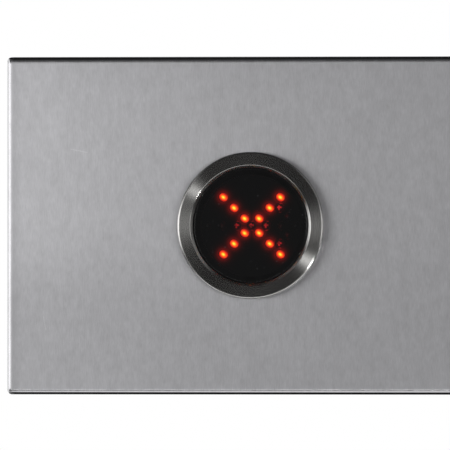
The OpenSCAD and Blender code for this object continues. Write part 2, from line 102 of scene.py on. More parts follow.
class Graph:
    """Writes one node tree in short calls."""

    def __init__(self, tree: bpy.types.NodeTree) -> None:
        """Clears the tree and takes it over."""
        tree.nodes.clear()
        self.tree = tree

    def add(self, kind: str, feeds: dict[str | int, Feed] | None = None, **options: object) -> bpy.types.Node:
        """Adds a node.

        Args:
            kind: The node's type name, without its ShaderNode prefix.
            feeds: What each input takes, by name or number.
            options: Settings of the node itself.

        Returns:
            The new node.
        """
        node = self.tree.nodes.new(kind if kind.startswith("Node") else "ShaderNode" + kind)
        node.location = (len(self.tree.nodes) * 40, -len(self.tree.nodes) % 7 * 60)
        for key, value in options.items():
            setattr(node, key, value)
        for key, value in (feeds or {}).items():
            self.feed(node.inputs[key], value)
        return node

    def feed(self, socket: Socket, value: Feed) -> None:
        """Links a socket to another one, or sets its plain value.

        Args:
            socket: The input.
            value: Another node's output, a number, a vector or a colour.
        """
        if isinstance(value, Socket):
            self.tree.links.new(value, socket)
        elif isinstance(value, (int, float)):
            plain = [value] * 3 if socket.type in ("VECTOR", "RGBA") else value
            socket.default_value = [*plain, 1] if socket.type == "RGBA" else plain
        else:
            socket.default_value = [*value, 1] if socket.type == "RGBA" and len(value) == 3 else value

    def math(self, operation: str, *values: Feed, clamp: bool = False) -> Socket:
        """Adds a Math node and returns its result."""
        return self.add("Math", dict(enumerate(values)), operation=operation, use_clamp=clamp).outputs[0]

    def times(self, *values: Feed) -> Socket:
        """Multiplies numbers together."""
        return reduce(lambda first, second: self.math("MULTIPLY", first, second), values)

    def plus(self, *values: Feed) -> Socket:
        """Adds numbers together."""
        return reduce(lambda first, second: self.math("ADD", first, second), values)

    def minus(self, first: Feed, second: Feed) -> Socket:
        """Takes the second number from the first."""
        return self.math("SUBTRACT", first, second)

    def absolute(self, value: Feed) -> Socket:
        """Drops the sign of a number."""
        return self.math("ABSOLUTE", value)

    def vector(self, operation: str, *values: Feed) -> Socket:
        """Adds a Vector Math node and returns its vector, or its number for a length or a product."""
        node = self.add("VectorMath", dict(enumerate(values)), operation=operation)
        return node.outputs[1 if operation in ("LENGTH", "DISTANCE", "DOT_PRODUCT") else 0]

    def scale(self, vector: Feed, share: Feed) -> Socket:
        """Multiplies a vector or a colour by a number."""
        return self.add("VectorMath", {0: vector, "Scale": share}, operation="SCALE").outputs[0]

    def shrink(self, point: Feed, size: Feed) -> Socket:
        """Divides a point by one size in every direction."""
        return self.vector("DIVIDE", point, self.join(size, size, size))

    def mix(self, share: Feed, first: Feed, second: Feed) -> Socket:
        """Mixes two colours.

        Args:
            share: How much of the second is in the mix.
            first: One colour.
            second: The other colour.

        Returns:
            The mixed colour.
        """
        return self.add("Mix", {0: share, 6: first, 7: second}, data_type="RGBA").outputs[2]

    def span(self, value: Feed, low: float, high: float, to_low: Feed = 0.0, to_high: Feed = 1.0) -> Socket:
        """Maps a value smoothly from one range to another, held at both ends."""
        feeds = {0: value, 1: low, 2: high, 3: to_low, 4: to_high}
        return self.add("MapRange", feeds, interpolation_type="SMOOTHSTEP").outputs[0]

    def linear(self, value: Feed, low: float, high: float, to_low: float, to_high: float) -> Socket:
        """Maps a value in proportion from one range to another, held at both ends."""
        return self.add("MapRange", {0: value, 1: low, 2: high, 3: to_low, 4: to_high}).outputs[0]

    def ramp(self, value: Feed, stops: Sequence[tuple[float, Colour]]) -> Socket:
        """Turns a value into a colour.

        Args:
            value: The number to look up.
            stops: Place and colour of each stop, in order.

        Returns:
            The colour.
        """
        node = self.add("ValToRGB", {0: value})
        elements = node.color_ramp.elements
        while len(elements) < len(stops):
            elements.new(0.5)
        for element, (place, colour) in zip(elements, stops):
            element.position = place
            element.color = (*colour, 1)
        return node.outputs[0]

    def noise(self, where: Feed, scale: float = 1.0, detail: float = 2.0, roughness: float = 0.5) -> Socket:
        """Adds a Noise Texture and returns its value, about 0.5 on average."""
        feeds = {"Vector": where, "Scale": scale, "Detail": detail, "Roughness": roughness}
        return self.add("TexNoise", feeds).outputs[0]

    def split(self, where: Feed) -> tuple[Socket, Socket, Socket]:
        """Takes a vector apart into its three numbers."""
        return tuple(self.add("SeparateXYZ", {0: where}).outputs)

    def join(self, x: Feed, y: Feed, z: Feed) -> Socket:
        """Makes a vector of three numbers."""
        return self.add("CombineXYZ", {0: x, 1: y, 2: z}).outputs[0]

    def place(self) -> Socket:
        """Returns the surface point in the part's own frame, in millimetres."""
        return self.vector("MULTIPLY", self.add("TexCoord").outputs["Object"], (1000, 1000, 1000))

    def facing(self) -> Socket:
        """Returns the surface normal in the part's own frame."""
        return self.add("TexCoord").outputs["Normal"]

    def bump(self, height: Feed, depth: float) -> Socket:
        """Bends the normal by a relief from 0 to 1 that is depth millimetres high."""
        return self.add("Bump", {"Height": height, "Distance": depth * MM, "Strength": 1.0}).outputs[0]

    def use(self, group: bpy.types.NodeTree, result: str, **feeds: Feed) -> Socket:
        """Places a node group.

        Args:
            group: The group's tree.
            result: The output to return.
            feeds: Values by input name.

        Returns:
            The output asked for; its node holds the others.
        """
        node = self.tree.nodes.new("ShaderNodeGroup")
        node.node_tree = group
        for key, value in feeds.items():
            self.feed(node.inputs[key], value)
        return node.outputs[result]


Fill = Callable[[Graph, dict[str, Socket]], dict[str, Socket]]


def make_group(name: str, inputs: dict[str, str], outputs: Sequence[str], fill: Fill) -> bpy.types.NodeTree:
    """Makes a shader node group with named inputs and outputs.

    Args:
        name: The group's name.
        inputs: Kind of each input, by name: Float or Vector.
        outputs: Name of each output, which is a number.
        fill: Writes the nodes and returns what each output takes.

    Returns:
        The group's tree.
    """
    tree = bpy.data.node_groups.new(name, "ShaderNodeTree")
    for key, kind in inputs.items():
        tree.interface.new_socket(name=key, in_out="INPUT", socket_type="NodeSocket" + kind)
    for key in outputs:
        tree.interface.new_socket(name=key, in_out="OUTPUT", socket_type="NodeSocketFloat")
    graph = Graph(tree)
    start = graph.add("NodeGroupInput")
    found = fill(graph, {key: start.outputs[key] for key in inputs})
    end = graph.add("NodeGroupOutput")
    for key, socket in found.items():
        tree.links.new(socket, end.inputs[key])
    return tree


# ---------------------------------------------------------------- shared effects


class Effects:
    """The node groups that several finishes share."""

    def __init__(self, lamp_steps: Sequence[float]) -> None:
        """Builds every group once.

        Args:
            lamp_steps: How far each lamp of one arm of the cross is from the middle, along X and Z.
        """
        self.lamp_steps = lamp_steps
        point, number = "Vector", "Float"
        self.lay = make_group("tool_lay", {"Along": point, "Width": number}, ("Tone", "Height"), self._lay)
        self.mottle = make_group(
            "mottle", {"Point": point, "Size": number, "Depth": number}, ("Tone",), self._mottle
        )
        self.moulded = make_group(
            "moulded_grain", {"Point": point, "Size": number}, ("Height",), self._moulded
        )
        self.dust = make_group(
            "dust", {"Point": point, "Size": number, "Cover": number}, ("Mask",), self._dust
        )
        self.wear = make_group("edge_wear", {"Point": point, "Amount": number}, ("Mask",), self._wear)
        self.glow = make_group("lamp_glow", {"Point": point, "Reach": number}, ("Glow",), self._glow)

    def clouded(self, g: Graph, colour: Feed, where: Socket, size: float, depth: float) -> Socket:
        """Clouds a colour softly.

        Args:
            g: The material's tree.
            colour: The colour.
            where: The surface point.
            size: Size of the clouds.
            depth: Share by which they are lighter or darker.

        Returns:
            The clouded colour.
        """
        return g.scale(colour, g.use(self.mottle, "Tone", Point=where, Size=size, Depth=depth))

    @staticmethod
    def _lay(g: Graph, given: dict[str, Socket]) -> dict[str, Socket]:
        """Writes fine parallel tool marks at three widths.

        Args:
            g: The group's tree.
            given: Along, which is already stretched along the marks, and Width.

        Returns:
            Tone and Height of the marks.
        """
        at = g.shrink(given["Along"], given["Width"])
        fine, middle, broad = g.noise(at, 1.0, 2.0, 0.6), g.noise(at, 0.31, 1.0), g.noise(at, 0.06, 1.0)
        return {"Tone": g.plus(g.times(fine, 0.7), g.times(middle, 0.2), g.times(broad, 0.1)), "Height": fine}

    @staticmethod
    def _mottle(g: Graph, given: dict[str, Socket]) -> dict[str, Socket]:
        """Writes a soft cloudy change round 1, by Depth either way.

        Args:
            g: The group's tree.
            given: Point, Size and Depth of the clouds.

        Returns:
            Tone, to multiply by.
        """
        cloud = g.noise(g.shrink(given["Point"], given["Size"]), 1.0, 4.0, 0.55)
        return {"Tone": g.plus(1.0, g.times(g.minus(cloud, 0.5), 4.0, given["Depth"]))}

    @staticmethod
    def _moulded(g: Graph, given: dict[str, Socket]) -> dict[str, Socket]:
        """Writes the spark-eroded texture of a moulding.

        Args:
            g: The group's tree.
            given: Point, and Size of the grain.

        Returns:
            Height of the texture.
        """
        at = g.shrink(given["Point"], given["Size"])
        pits = g.add("TexVoronoi", {"Vector": at, "Scale": 1.0}, feature="SMOOTH_F1").outputs["Distance"]
        return {"Height": g.plus(g.times(pits, 0.6), g.times(g.noise(at, 1.7, 3.0, 0.6), 0.6))}

    @staticmethod
    def _dust(g: Graph, given: dict[str, Socket]) -> dict[str, Socket]:
        """Writes scattered round specks.

        Args:
            g: The group's tree.
            given: Point, Size of the cells, and Cover, the share of them that holds a speck.

        Returns:
            Mask of the specks, some fainter than others.
        """
        at = g.shrink(given["Point"], given["Size"])
        cells = g.add("TexVoronoi", {"Vector": at, "Scale": 1.0})
        chance, width, light = g.split(cells.outputs["Color"])
        there = g.math("LESS_THAN", chance, given["Cover"])
        inside = g.math("LESS_THAN", cells.outputs["Distance"], g.linear(width, 0.0, 1.0, 0.08, 0.22))
        return {"Mask": g.times(there, inside, g.linear(light, 0, 1, 0.3, 1))}

    @staticmethod
    def _wear(g: Graph, given: dict[str, Socket]) -> dict[str, Socket]:
        """Writes a broken bright line along outer edges.

        Args:
            g: The group's tree.
            given: Point, and Amount of wear.

        Returns:
            Mask of the worn edge.
        """
        edge = g.span(g.add("NewGeometry").outputs["Pointiness"], 0.52, 0.62)
        broken = g.span(g.noise(given["Point"], 1.4, 3.0), 0.38, 0.62)
        return {"Mask": g.math("MULTIPLY", g.times(edge, broken), given["Amount"], clamp=True)}

    def _glow(self, g: Graph, given: dict[str, Socket]) -> dict[str, Socket]:
        """Writes the painted light that falls off round each lamp of the cross.

        Args:
            g: The group's tree.
            given: Point, and Reach of the light.

        Returns:
            Glow, the light of all lamps together.
        """
        x, _, z = (g.absolute(number) for number in g.split(given["Point"]))
        reach = g.math("POWER", given["Reach"], 2.0)
        lights = []
        for step in self.lamp_steps:
            across, up = (g.math("POWER", g.minus(number, step), 2.0) for number in (x, z))
            lights.append(g.math("EXPONENT", g.times(g.math("DIVIDE", g.plus(across, up), reach), -1.0)))
        return {"Glow": g.plus(*lights)}


# ---------------------------------------------------------------- finishes


class Lay(Enum):
    """Which way the marks of a metal surface run."""

    UPRIGHT = "upright"
    TURNED = "turned"
    ROLLED = "rolled"
    PLATED = "plated"


class Spread(Enum):
    """Which way a highlight spreads: level across an upright lay, or round the button."""

    LEVEL = "level"
    ROUND = "round"


@dataclass(frozen=True)
class Finish:
    """A surface finish: a name, the record's material slot, and a way to build it."""

    name: str
    slot: str

    def shade(self, g: Graph, effects: Effects) -> dict[str, Feed]:
        """Writes the nodes of the finish.

        Args:
            g: The material's tree.
            effects: The shared node groups.

        Returns:
            What each input of the Principled shader takes.
        """
        raise NotImplementedError

    def build(self, effects: Effects) -> bpy.types.Material:
        """Builds the material.

        Args:
            effects: The shared node groups.

        Returns:
            The material.
        """
        material = bpy.data.materials.new(self.name + "_finish")
        material.use_nodes = True
        g = Graph(material.node_tree)
        shader = g.add("BsdfPrincipled", self.shade(g, effects))
        g.add("OutputMaterial", {"Surface": shader.outputs[0]})
        return material


def toned(tint: Colour, share: float, lift: float = 0.0) -> Colour:
    """Multiplies a colour by a share and lifts it, up to white at most."""
    return tuple(min(1.0, c * share + lift) for c in tint)


@dataclass(frozen=True)
class Scratch:
    """A thin light mark from one point of the front to another, as X and Z."""

    start: tuple[float, float]
    end: tuple[float, float]
    width: float
    strength: float = 0.35

    def mask(self, g: Graph, where: Socket) -> Socket:
        """Writes the mark's mask.

        Args:
            g: The material's tree.
            where: The surface point.

        Returns:
            The mark's strength on it, and 0 away from it.
        """
        first = Vector((self.start[0], 0, self.start[1]))
        run = Vector((self.end[0], 0, self.end[1])) - first
        x, _, z = g.split(where)
        from_start = g.vector("SUBTRACT", g.join(x, 0.0, z), tuple(first))
        along = g.vector("DOT_PRODUCT", from_start, tuple(run))
        share = g.math("DIVIDE", along, run.length_squared, clamp=True)
        gap = g.vector("DISTANCE", from_start, g.scale(tuple(run), share))
        broken = g.span(g.noise(where, 2.0, 2.0), 0.35, 0.6, 0.3, 1.0)
        return g.times(g.span(gap, self.width, self.width * 0.3), broken, self.strength)


@dataclass(frozen=True)
class Metal(Finish):
    """Bare or plated metal with tool marks.

    Width and stretch are those of the marks. Clouds are wide and blotches small. Further from the
    middle than the margin, the metal is shaded. A bend roughness of 0 leaves bends as they are.
    """

    tint: Colour
    roughness: float
    lay: Lay
    contrast: float = 0.05
    gloss_swing: float = 0.15
    width: float = 0.12
    stretch: float = 0.05
    anisotropy: float = 0.0
    rotation: float = 0.0
    spread: Spread = Spread.LEVEL
    relief: float = 0.0
    wear: float = 0.3
    cloud: float = 0.03
    cloud_size: float = 22.0
    blotch: float = 0.0
    blotch_size: float = 2.4
    blotch_stretch: float = 0.7
    bend_roughness: float = 0.0
    margin: float = 0.0
    margin_width: float = 5.0
    margin_shade: float = 0.16
    scratches: tuple[Scratch, ...] = ()

    def along(self, g: Graph, where: Socket) -> Socket:
        """Stretches the surface point along the tool marks.

        Args:
            g: The material's tree.
            where: The surface point.

        Returns:
            The stretched point.
        """
        x, y, z = g.split(where)
        if self.lay is Lay.TURNED:
            turn = g.math("SINE", g.math("ARCTAN2", x, z))
            return g.join(g.vector("LENGTH", g.join(x, 0.0, z)), y, g.times(turn, 0.5))
        if self.lay is Lay.UPRIGHT:
            on_top = g.math("GREATER_THAN", g.absolute(g.split(g.facing())[2]), 0.7)
            return g.join(x, g.times(y, g.linear(on_top, 0, 1, 1.0, self.stretch)), g.times(z, self.stretch))
        if self.lay is Lay.ROLLED:
            return g.join(g.times(x, self.stretch), y, z)
        return where

    def colour(self, g: Graph, effects: Effects, where: Socket, marks: Socket) -> Socket:
        """Writes tool marks, clouds, blotches, worn edges, scratches and a shaded margin.

        Args:
            g: The material's tree.
            effects: The shared node groups.
            where: The surface point.
            marks: Tone of the tool marks.

        Returns:
            The metal's colour.
        """
        tone = g.linear(marks, 0.25, 0.75, 1 - self.contrast, 1 + self.contrast)
        colour = effects.clouded(g, g.scale(self.tint, tone), where, self.cloud_size, self.cloud)
        if self.blotch:
            x, y, z = g.split(where)
            tall = g.join(x, g.times(y, self.blotch_stretch), g.times(z, self.blotch_stretch))
            colour = effects.clouded(g, colour, tall, self.blotch_size, self.blotch)
        worn = g.use(effects.wear, "Mask", Point=where, Amount=self.wear)
        colour = g.mix(worn, colour, toned(self.tint, 1.35))
        for scratch in self.scratches:
            colour = g.mix(scratch.mask(g, where), colour, BRIGHT_SCRATCH)
        if self.margin:
            aside = g.absolute(g.split(where)[0])
            shade = g.span(aside, self.margin, self.margin + self.margin_width, 0.0, self.margin_shade)
            colour = g.mix(shade, colour, SHADED_METAL)
        return colour

    def gloss(self, g: Graph, marks: Socket) -> Socket:
        """Writes a roughness that follows the tool marks and is polished on the bends.

        Args:
            g: The material's tree.
            marks: Tone of the tool marks.

        Returns:
            The roughness.
        """
        swing = self.roughness * self.gloss_swing
        rough = g.linear(marks, 0.3, 0.7, self.roughness - swing, self.roughness + swing)
        if not self.bend_roughness:
            return rough
        lean = g.absolute(g.split(g.facing())[1])
        bent = g.times(g.span(lean, 0.985, 0.94), g.span(lean, 0.02, 0.1))
        return g.plus(rough, g.times(bent, g.minus(self.bend_roughness, rough)))

    def shade(self, g: Graph, effects: Effects) -> dict[str, Feed]:
        """Writes tool marks in colour, gloss and relief.

        Args:
            g: The material's tree.
            effects: The shared node groups.

        Returns:
            What each input of the Principled shader takes.
        """
        where = g.place()
        marks = g.use(effects.lay, "Tone", Along=self.along(g, where), Width=self.width)
        feeds: dict[str, Feed] = {
            "Base Color": self.colour(g, effects, where, marks),
            "Metallic": 1.0,
            "Roughness": self.gloss(g, marks),
            "Anisotropic": self.anisotropy,
            "Anisotropic Rotation": self.rotation,
        }
        if self.relief:
            feeds["Normal"] = g.bump(marks.node.outputs["Height"], self.relief)
        if self.anisotropy and self.spread is Spread.LEVEL:
            x, y, _ = g.split(g.facing())
            feeds["Tangent"] = g.join(g.minus(y, 0.01), g.times(x, -1.0), 0.0)
        elif self.anisotropy:
            feeds["Tangent"] = g.add("Tangent", direction_type="RADIAL", axis="Y").outputs[0]
        return feeds


@dataclass(frozen=True)
class Moulding(Finish):
    """Moulded plastic or rubber."""

    tint: Colour
    roughness: float
    grain: float = 0.35
    relief: float = 0.02
    coat: float = 0.0
    wear: float = 0.25
    dust: float = 0.05
    dust_size: float = 1.6
    dust_strength: float = 0.5
    cloud: float = 0.08
    cloud_size: float = 9.0

    def shade(self, g: Graph, effects: Effects) -> dict[str, Feed]:
        """Writes eroded texture, faint flow clouding, paler edges and a little dust.

        Args:
            g: The material's tree.
            effects: The shared node groups.

        Returns:
            What each input of the Principled shader takes.
        """
        where = g.place()
        grain = g.use(effects.moulded, "Height", Point=where, Size=self.grain)
        colour = effects.clouded(g, self.tint, where, self.cloud_size, self.cloud)
        worn = g.use(effects.wear, "Mask", Point=where, Amount=self.wear)
        colour = g.mix(worn, colour, toned(self.tint, 1.6, 0.03))
        specks = g.use(effects.dust, "Mask", Point=where, Size=self.dust_size, Cover=self.dust)
        return {
            "Base Color": g.mix(g.times(specks, self.dust_strength), colour, PALE_DUST),
            "Roughness": g.linear(grain, 0.2, 0.9, self.roughness * 0.85, min(1, self.roughness * 1.15)),
            "Coat Weight": self.coat,
            "Normal": g.bump(grain, self.relief),
        }


@dataclass(frozen=True)
class Foam(Finish):
    """Closed-cell rubber sheet, cut with a knife."""

    tint: Colour
    cells: float = 2.6
    relief: float = 0.12

    def shade(self, g: Graph, effects: Effects) -> dict[str, Feed]:
        """Writes small open cells on the cut faces, darker towards the middle of each: painted shade in their
        hollows.

        Args:
            g: The material's tree.
            effects: The shared node groups.

        Returns:
            What each input of the Principled shader takes.
        """
        where = g.place()
        near = g.add("TexVoronoi", {"Vector": where, "Scale": self.cells}, feature="F1").outputs["Distance"]
        cell = g.span(near, 0.12, 0.42)
        # Painted shade: darker towards the middle of each cell, where the relief dips.
        colour = g.scale(self.tint, g.linear(cell, 0, 1, 0.55, 1.15))
        return {
            "Base Color": effects.clouded(g, colour, where, size=14.0, depth=0.1),
            "Roughness": g.linear(cell, 0, 1, 0.95, 0.8),
            "Normal": g.bump(cell, self.relief),
        }


@dataclass(frozen=True)
class Smoked(Finish):
    """Clear plastic, dyed nearly black, with a hard gloss, and a faint even glow painted on it in place of
    scattered light.
    """

    tint: Colour
    painted_haze_glow: Colour = (0.0049, 0.0049, 0.005)
    painted_speck_glow: Colour = (0.02, 0.02, 0.021)
    index: float = 1.49

    def shade(self, g: Graph, effects: Effects) -> dict[str, Feed]:
        """Writes even dye, a faint wipe pattern in the gloss, a few specks of dust, and a painted glow that
        is brighter on the specks.

        Args:
            g: The material's tree.
            effects: The shared node groups.

        Returns:
            What each input of the Principled shader takes.
        """
        where = g.place()
        x, y, z = g.split(where)
        wiped = g.noise(g.join(g.times(x, 0.25), y, g.times(z, 1.4)), 0.5, 3.0)
        specks = g.use(effects.dust, "Mask", Point=where, Size=2.2, Cover=0.16)
        return {
            "Base Color": g.mix(g.times(specks, 0.3), self.tint, toned(self.tint, 0.5)),
            "Roughness": g.linear(wiped, 0.3, 0.7, 0.0, 0.02),
            "Transmission Weight": 1.0,
            "IOR": self.index,
            "Specular IOR Level": 0.3,
            # Painted light: an even faint glow over the lens, brighter on the dust specks.
            "Emission Color": g.mix(specks, self.painted_haze_glow, self.painted_speck_glow),
            "Emission Strength": 1.0,
        }


@dataclass(frozen=True)
class LitLamp(Finish):
    """Tinted epoxy with a glowing chip behind its dome.

    The chip's image is slanted, drawn out by the stretch and a little off the centre. Its light fades
    in between two places behind the foot of the dome.
    """

    strength: float
    body: Colour = (0.08, 0.004, 0.003)
    slant: float = -38.0
    stretch: float = 0.72
    off_centre: float = 0.08
    dome: float = 1.5
    fade: tuple[float, float] = (1.0, 0.2)
    heat: tuple[tuple[float, Colour], ...] = (
        (0.0, (1.0, 0.88, 0.06)), (0.16, (1.0, 0.66, 0.04)), (0.34, (1.0, 0.22, 0.015)),
        (0.52, (0.86, 0.05, 0.008)), (0.72, (0.52, 0.012, 0.004)), (0.92, (0.2, 0.004, 0.003)),
        (1.0, (0.1, 0.003, 0.002)),
    )

    def shade(self, g: Graph, effects: Effects) -> dict[str, Feed]:
        """Writes a glow that is hot in the middle, drawn out along the chip, and dark at the rim.

        Args:
            g: The material's tree.
            effects: The shared node groups.

        Returns:
            What each input of the Principled shader takes.
        """
        x, _, z = g.split(g.facing())
        cos, sin = math.cos(math.radians(self.slant)), math.sin(math.radians(self.slant))
        along = g.times(g.minus(g.plus(g.times(x, cos), g.times(z, sin)), self.off_centre), self.stretch)
        across = g.minus(g.times(z, cos), g.times(x, sin))
        out = g.math("SQRT", g.plus(g.math("POWER", along, 2.0), g.math("POWER", across, 2.0)))
        uneven = g.times(g.minus(g.noise(g.place(), 0.35, 1.0), 0.5), 0.1)
        foot_of_dome = corner_mm("cross_lamps")[0].y + self.dome
        domed = g.span(g.split(g.place())[1], foot_of_dome + self.fade[0], foot_of_dome + self.fade[1])
        return {
            "Base Color": self.body,
            "Roughness": g.linear(g.noise(g.place(), 0.8, 2.0), 0.3, 0.7, 0.35, 0.5),
            "Specular IOR Level": 0.15,
            "Emission Color": g.mix(domed, BLACK, g.ramp(g.plus(out, uneven), self.heat)),
            "Emission Strength": self.strength,
        }


@dataclass(frozen=True)
class ClearLamp(Finish):
    """Water-clear epoxy over a dark chip, with red light and glints from its lit neighbours painted on it."""

    strength: float
    dark: Colour = (0.012, 0.012, 0.012)
    cup: Colour = (0.3, 0.28, 0.26)
    red: Colour = (1.0, 0.025, 0.03)
    reach: float = 3.1

    def shade(self, g: Graph, effects: Effects) -> dict[str, Feed]:
        """Writes a nearly black lamp with a pale chip cup, and painted red glints and glow from the lit lamps
        nearby.

        Args:
            g: The material's tree.
            effects: The shared node groups.

        Returns:
            What each input of the Principled shader takes.
        """
        where = g.place()
        x, y, z = g.split(g.facing())
        ahead = g.times(y, -1.0)
        arms = g.math("MINIMUM", g.absolute(g.plus(x, 0.12)), g.absolute(g.minus(z, 0.1)))
        broken = g.span(g.noise(where, 0.9, 2.0), 0.36, 0.6, 0.25, 1.0)
        # Painted light: red glints and a faint red glow on the dome, strongest near the lit cross.
        painted_glint = g.times(g.span(arms, 0.3, 0.08), g.span(ahead, 0.76, 0.95), broken)
        glow = g.use(effects.glow, "Glow", Point=where, Reach=self.reach)
        lit = g.math("MULTIPLY", glow, g.plus(painted_glint, g.span(ahead, 0.1, 0.9, 0.05, 0.02)), clamp=True)
        return {
            "Base Color": g.mix(g.span(ahead, 0.955, 0.985), self.dark, self.cup),
            "Roughness": g.linear(g.noise(where, 0.8, 2.0), 0.3, 0.7, 0.2, 0.35),
            "Specular IOR Level": 0.25,
            "Emission Color": g.mix(lit, BLACK, self.red),
            "Emission Strength": self.strength,
        }


@dataclass(frozen=True)
class Mask(Finish):
    """Dead matt black plate round the lamps."""

    strength: float
    tint: Colour = (0.004, 0.004, 0.004)
    dust: Colour = (0.4, 0.39, 0.37)
    red: Colour = (1.0, 0.012, 0.01)
    near_reach: float = 1.53
    near_light: float = 3.2
    far_reach: float = 2.9
    far_light: float = 0.12

    def shade(self, g: Graph, effects: Effects) -> dict[str, Feed]:
        """Writes matt black with dust, and the red light that the lamps spill on it, painted on as glow.

        Args:
            g: The material's tree.
            effects: The shared node groups.

        Returns:
            What each input of the Principled shader takes.
        """
        where = g.place()
        grain = g.use(effects.moulded, "Height", Point=where, Size=0.4)
        specks = g.use(effects.dust, "Mask", Point=where, Size=1.9, Cover=0.12)
        # Painted light: the red spill round each lit lamp, on faces that look ahead.
        near = g.times(g.use(effects.glow, "Glow", Point=where, Reach=self.near_reach), self.near_light)
        far = g.times(g.use(effects.glow, "Glow", Point=where, Reach=self.far_reach), self.far_light)
        front = g.span(g.times(g.split(g.facing())[1], -1.0), 0.2, 0.8)
        spill = g.times(g.math("ADD", near, far, clamp=True), front)
        return {
            "Base Color": g.mix(specks, self.tint, self.dust),
            "Roughness": g.linear(grain, 0.2, 0.9, 0.75, 0.95),
            "Specular IOR Level": 0.15,
            "Normal": g.bump(grain, 0.015),
            "Emission Color": g.mix(spill, BLACK, self.red),
            "Emission Strength": self.strength,
        }


@dataclass(frozen=True)
class Board(Finish):
    """Glass-epoxy board with tracks under its solder resist."""

    resist: Colour
    track: Colour
    pitch: float
    relief: float = 0.03

    def shade(self, g: Graph, effects: Effects) -> dict[str, Feed]:
        """Writes tracks as lighter, raised lines under the resist, and a pale cut edge.

        Args:
            g: The material's tree.
            effects: The shared node groups.

        Returns:
            What each input of the Principled shader takes.
        """
        where = g.place()
        x, _, z = g.split(where)
        bend = g.math("ROUND", g.times(g.noise(where, 0.12, 0.0), self.pitch * 3))
        rows = g.math("PINGPONG", g.plus(z, bend), self.pitch)
        line = g.span(g.absolute(g.minus(rows, self.pitch / 2)), 0.32, 0.22)
        present = g.math("GREATER_THAN", g.noise(g.join(g.times(x, 0.15), 0.0, z), 0.6, 0.0), 0.47)
        track = g.times(line, present)
        flat = g.span(g.absolute(g.split(g.facing())[1]), 0.3, 0.7)
        top = effects.clouded(g, g.mix(track, self.resist, self.track), where, size=6.0, depth=0.06)
        return {
            "Base Color": g.mix(flat, CUT_EPOXY, top),
            "Roughness": g.linear(track, 0, 1, 0.28, 0.38),
            "Coat Weight": g.times(flat, 0.4),
            "Normal": g.bump(g.times(track, flat), self.relief),
        }


@dataclass(frozen=True)
class Sleeve(Finish):
    """Two-colour wire insulation: a stripe runs along the lead."""

    base: Colour
    stripe: Colour

    def shade(self, g: Graph, effects: Effects) -> dict[str, Feed]:
        """Writes a stripe on the side that faces away from the middle of the unit.

        Args:
            g: The material's tree.
            effects: The shared node groups.

        Returns:
            What each input of the Principled shader takes.
        """
        where = g.place()
        wander = g.times(g.minus(g.noise(where, 0.08, 1.0), 0.5), 0.9)
        band = g.span(g.plus(g.split(g.facing())[0], wander), 0.05, 0.12)
        grain = g.noise(where, 3.0, 2.0)
        colour = g.mix(band, self.base, self.stripe)
        return {
            "Base Color": effects.clouded(g, colour, where, size=5.0, depth=0.05),
            "Roughness": g.linear(grain, 0.3, 0.7, 0.3, 0.45),
            "Normal": g.bump(grain, 0.02),
        }


BRUSHED = Metal(
    "brushed_sheet", "brushed_stainless", (0.62, 0.617, 0.637), 0.33, Lay.UPRIGHT,
    contrast=0.11, gloss_swing=0.05, width=0.34, stretch=0.13, anisotropy=1.0, relief=0.0015, wear=0.0,
    cloud=0.012, blotch=0.062, bend_roughness=0.16, margin=77.5,
    scratches=(Scratch((-61.5, 26.0), (-56.0, 25.0), 0.25), Scratch((-71.0, -31.0), (-70.2, -35.5), 0.2)),
)
TURNED = Metal(
    "turned_bezel", "turned_stainless", (0.60, 0.592, 0.575), 0.205, Lay.TURNED,
    contrast=0.03, gloss_swing=0.04, width=0.16, anisotropy=1.0, rotation=0.25, spread=Spread.ROUND,
    wear=0.0, cloud=0.01, bend_roughness=0.13,
)
MILL = Metal(
    "mill_sheet", "mill_stainless", (0.52, 0.53, 0.54), 0.36, Lay.ROLLED,
    contrast=0.04, width=0.5, anisotropy=0.3, rotation=0.25, relief=0.004, cloud=0.05,
)
STAINLESS = Metal(
    "stainless_fixing", "stainless_fixings", (0.62, 0.62, 0.61), 0.25, Lay.PLATED,
    contrast=0.05, width=0.4, relief=0.01, wear=0.5,
)
PLATED = Metal(
    "zinc_plate", "plated_fixings", (0.62, 0.63, 0.66), 0.30, Lay.PLATED,
    contrast=0.09, width=0.9, relief=0.012, wear=0.5, cloud=0.08,
)
SPRING = Metal(
    "spring_wire", "spring_steel", (0.55, 0.55, 0.54), 0.28, Lay.ROLLED,
    contrast=0.08, width=0.15, relief=0.006,
)
OXIDE = Metal(
    "black_oxide", "black_fixings", (0.035, 0.035, 0.037), 0.42, Lay.PLATED,
    contrast=0.15, width=0.8, wear=0.9,
)
GOLD = Metal("gold_flash", "gold_pins", (0.85, 0.60, 0.22), 0.24, Lay.PLATED, contrast=0.05, width=0.6)
TIN = Metal(
    "tin_plate", "tinned_lugs", (0.68, 0.66, 0.60), 0.34, Lay.PLATED,
    contrast=0.08, width=0.7, cloud=0.08,
)
GASKET = Foam("sheet_rubber", "sheet_rubber", (0.03, 0.03, 0.031))
RUBBER = Moulding("black_rubber", "black_rubber", (0.02, 0.02, 0.02), 0.72, grain=0.5, relief=0.03, dust=0.1)
LENS = Smoked("smoked_lens", "smoked_lens", (0.14, 0.14, 0.145))
ACETAL = Moulding("black_acetal", "black_acetal", (0.014, 0.014, 0.015), 0.4, grain=0.25, relief=0.01)
NYLON = Moulding("black_nylon", "black_nylon", (0.022, 0.022, 0.024), 0.55, grain=0.3, relief=0.03)
PLUNGER = Moulding("red_acetal", "red_acetal", (0.5, 0.03, 0.02), 0.35, grain=0.25, relief=0.01)
GREEN = Moulding("green_nylon", "green_nylon", (0.02, 0.22, 0.10), 0.45, grain=0.3, relief=0.02)
EPOXY = Moulding("chip_epoxy", "chip_epoxy", (0.02, 0.02, 0.02), 0.5, grain=0.15, relief=0.015)
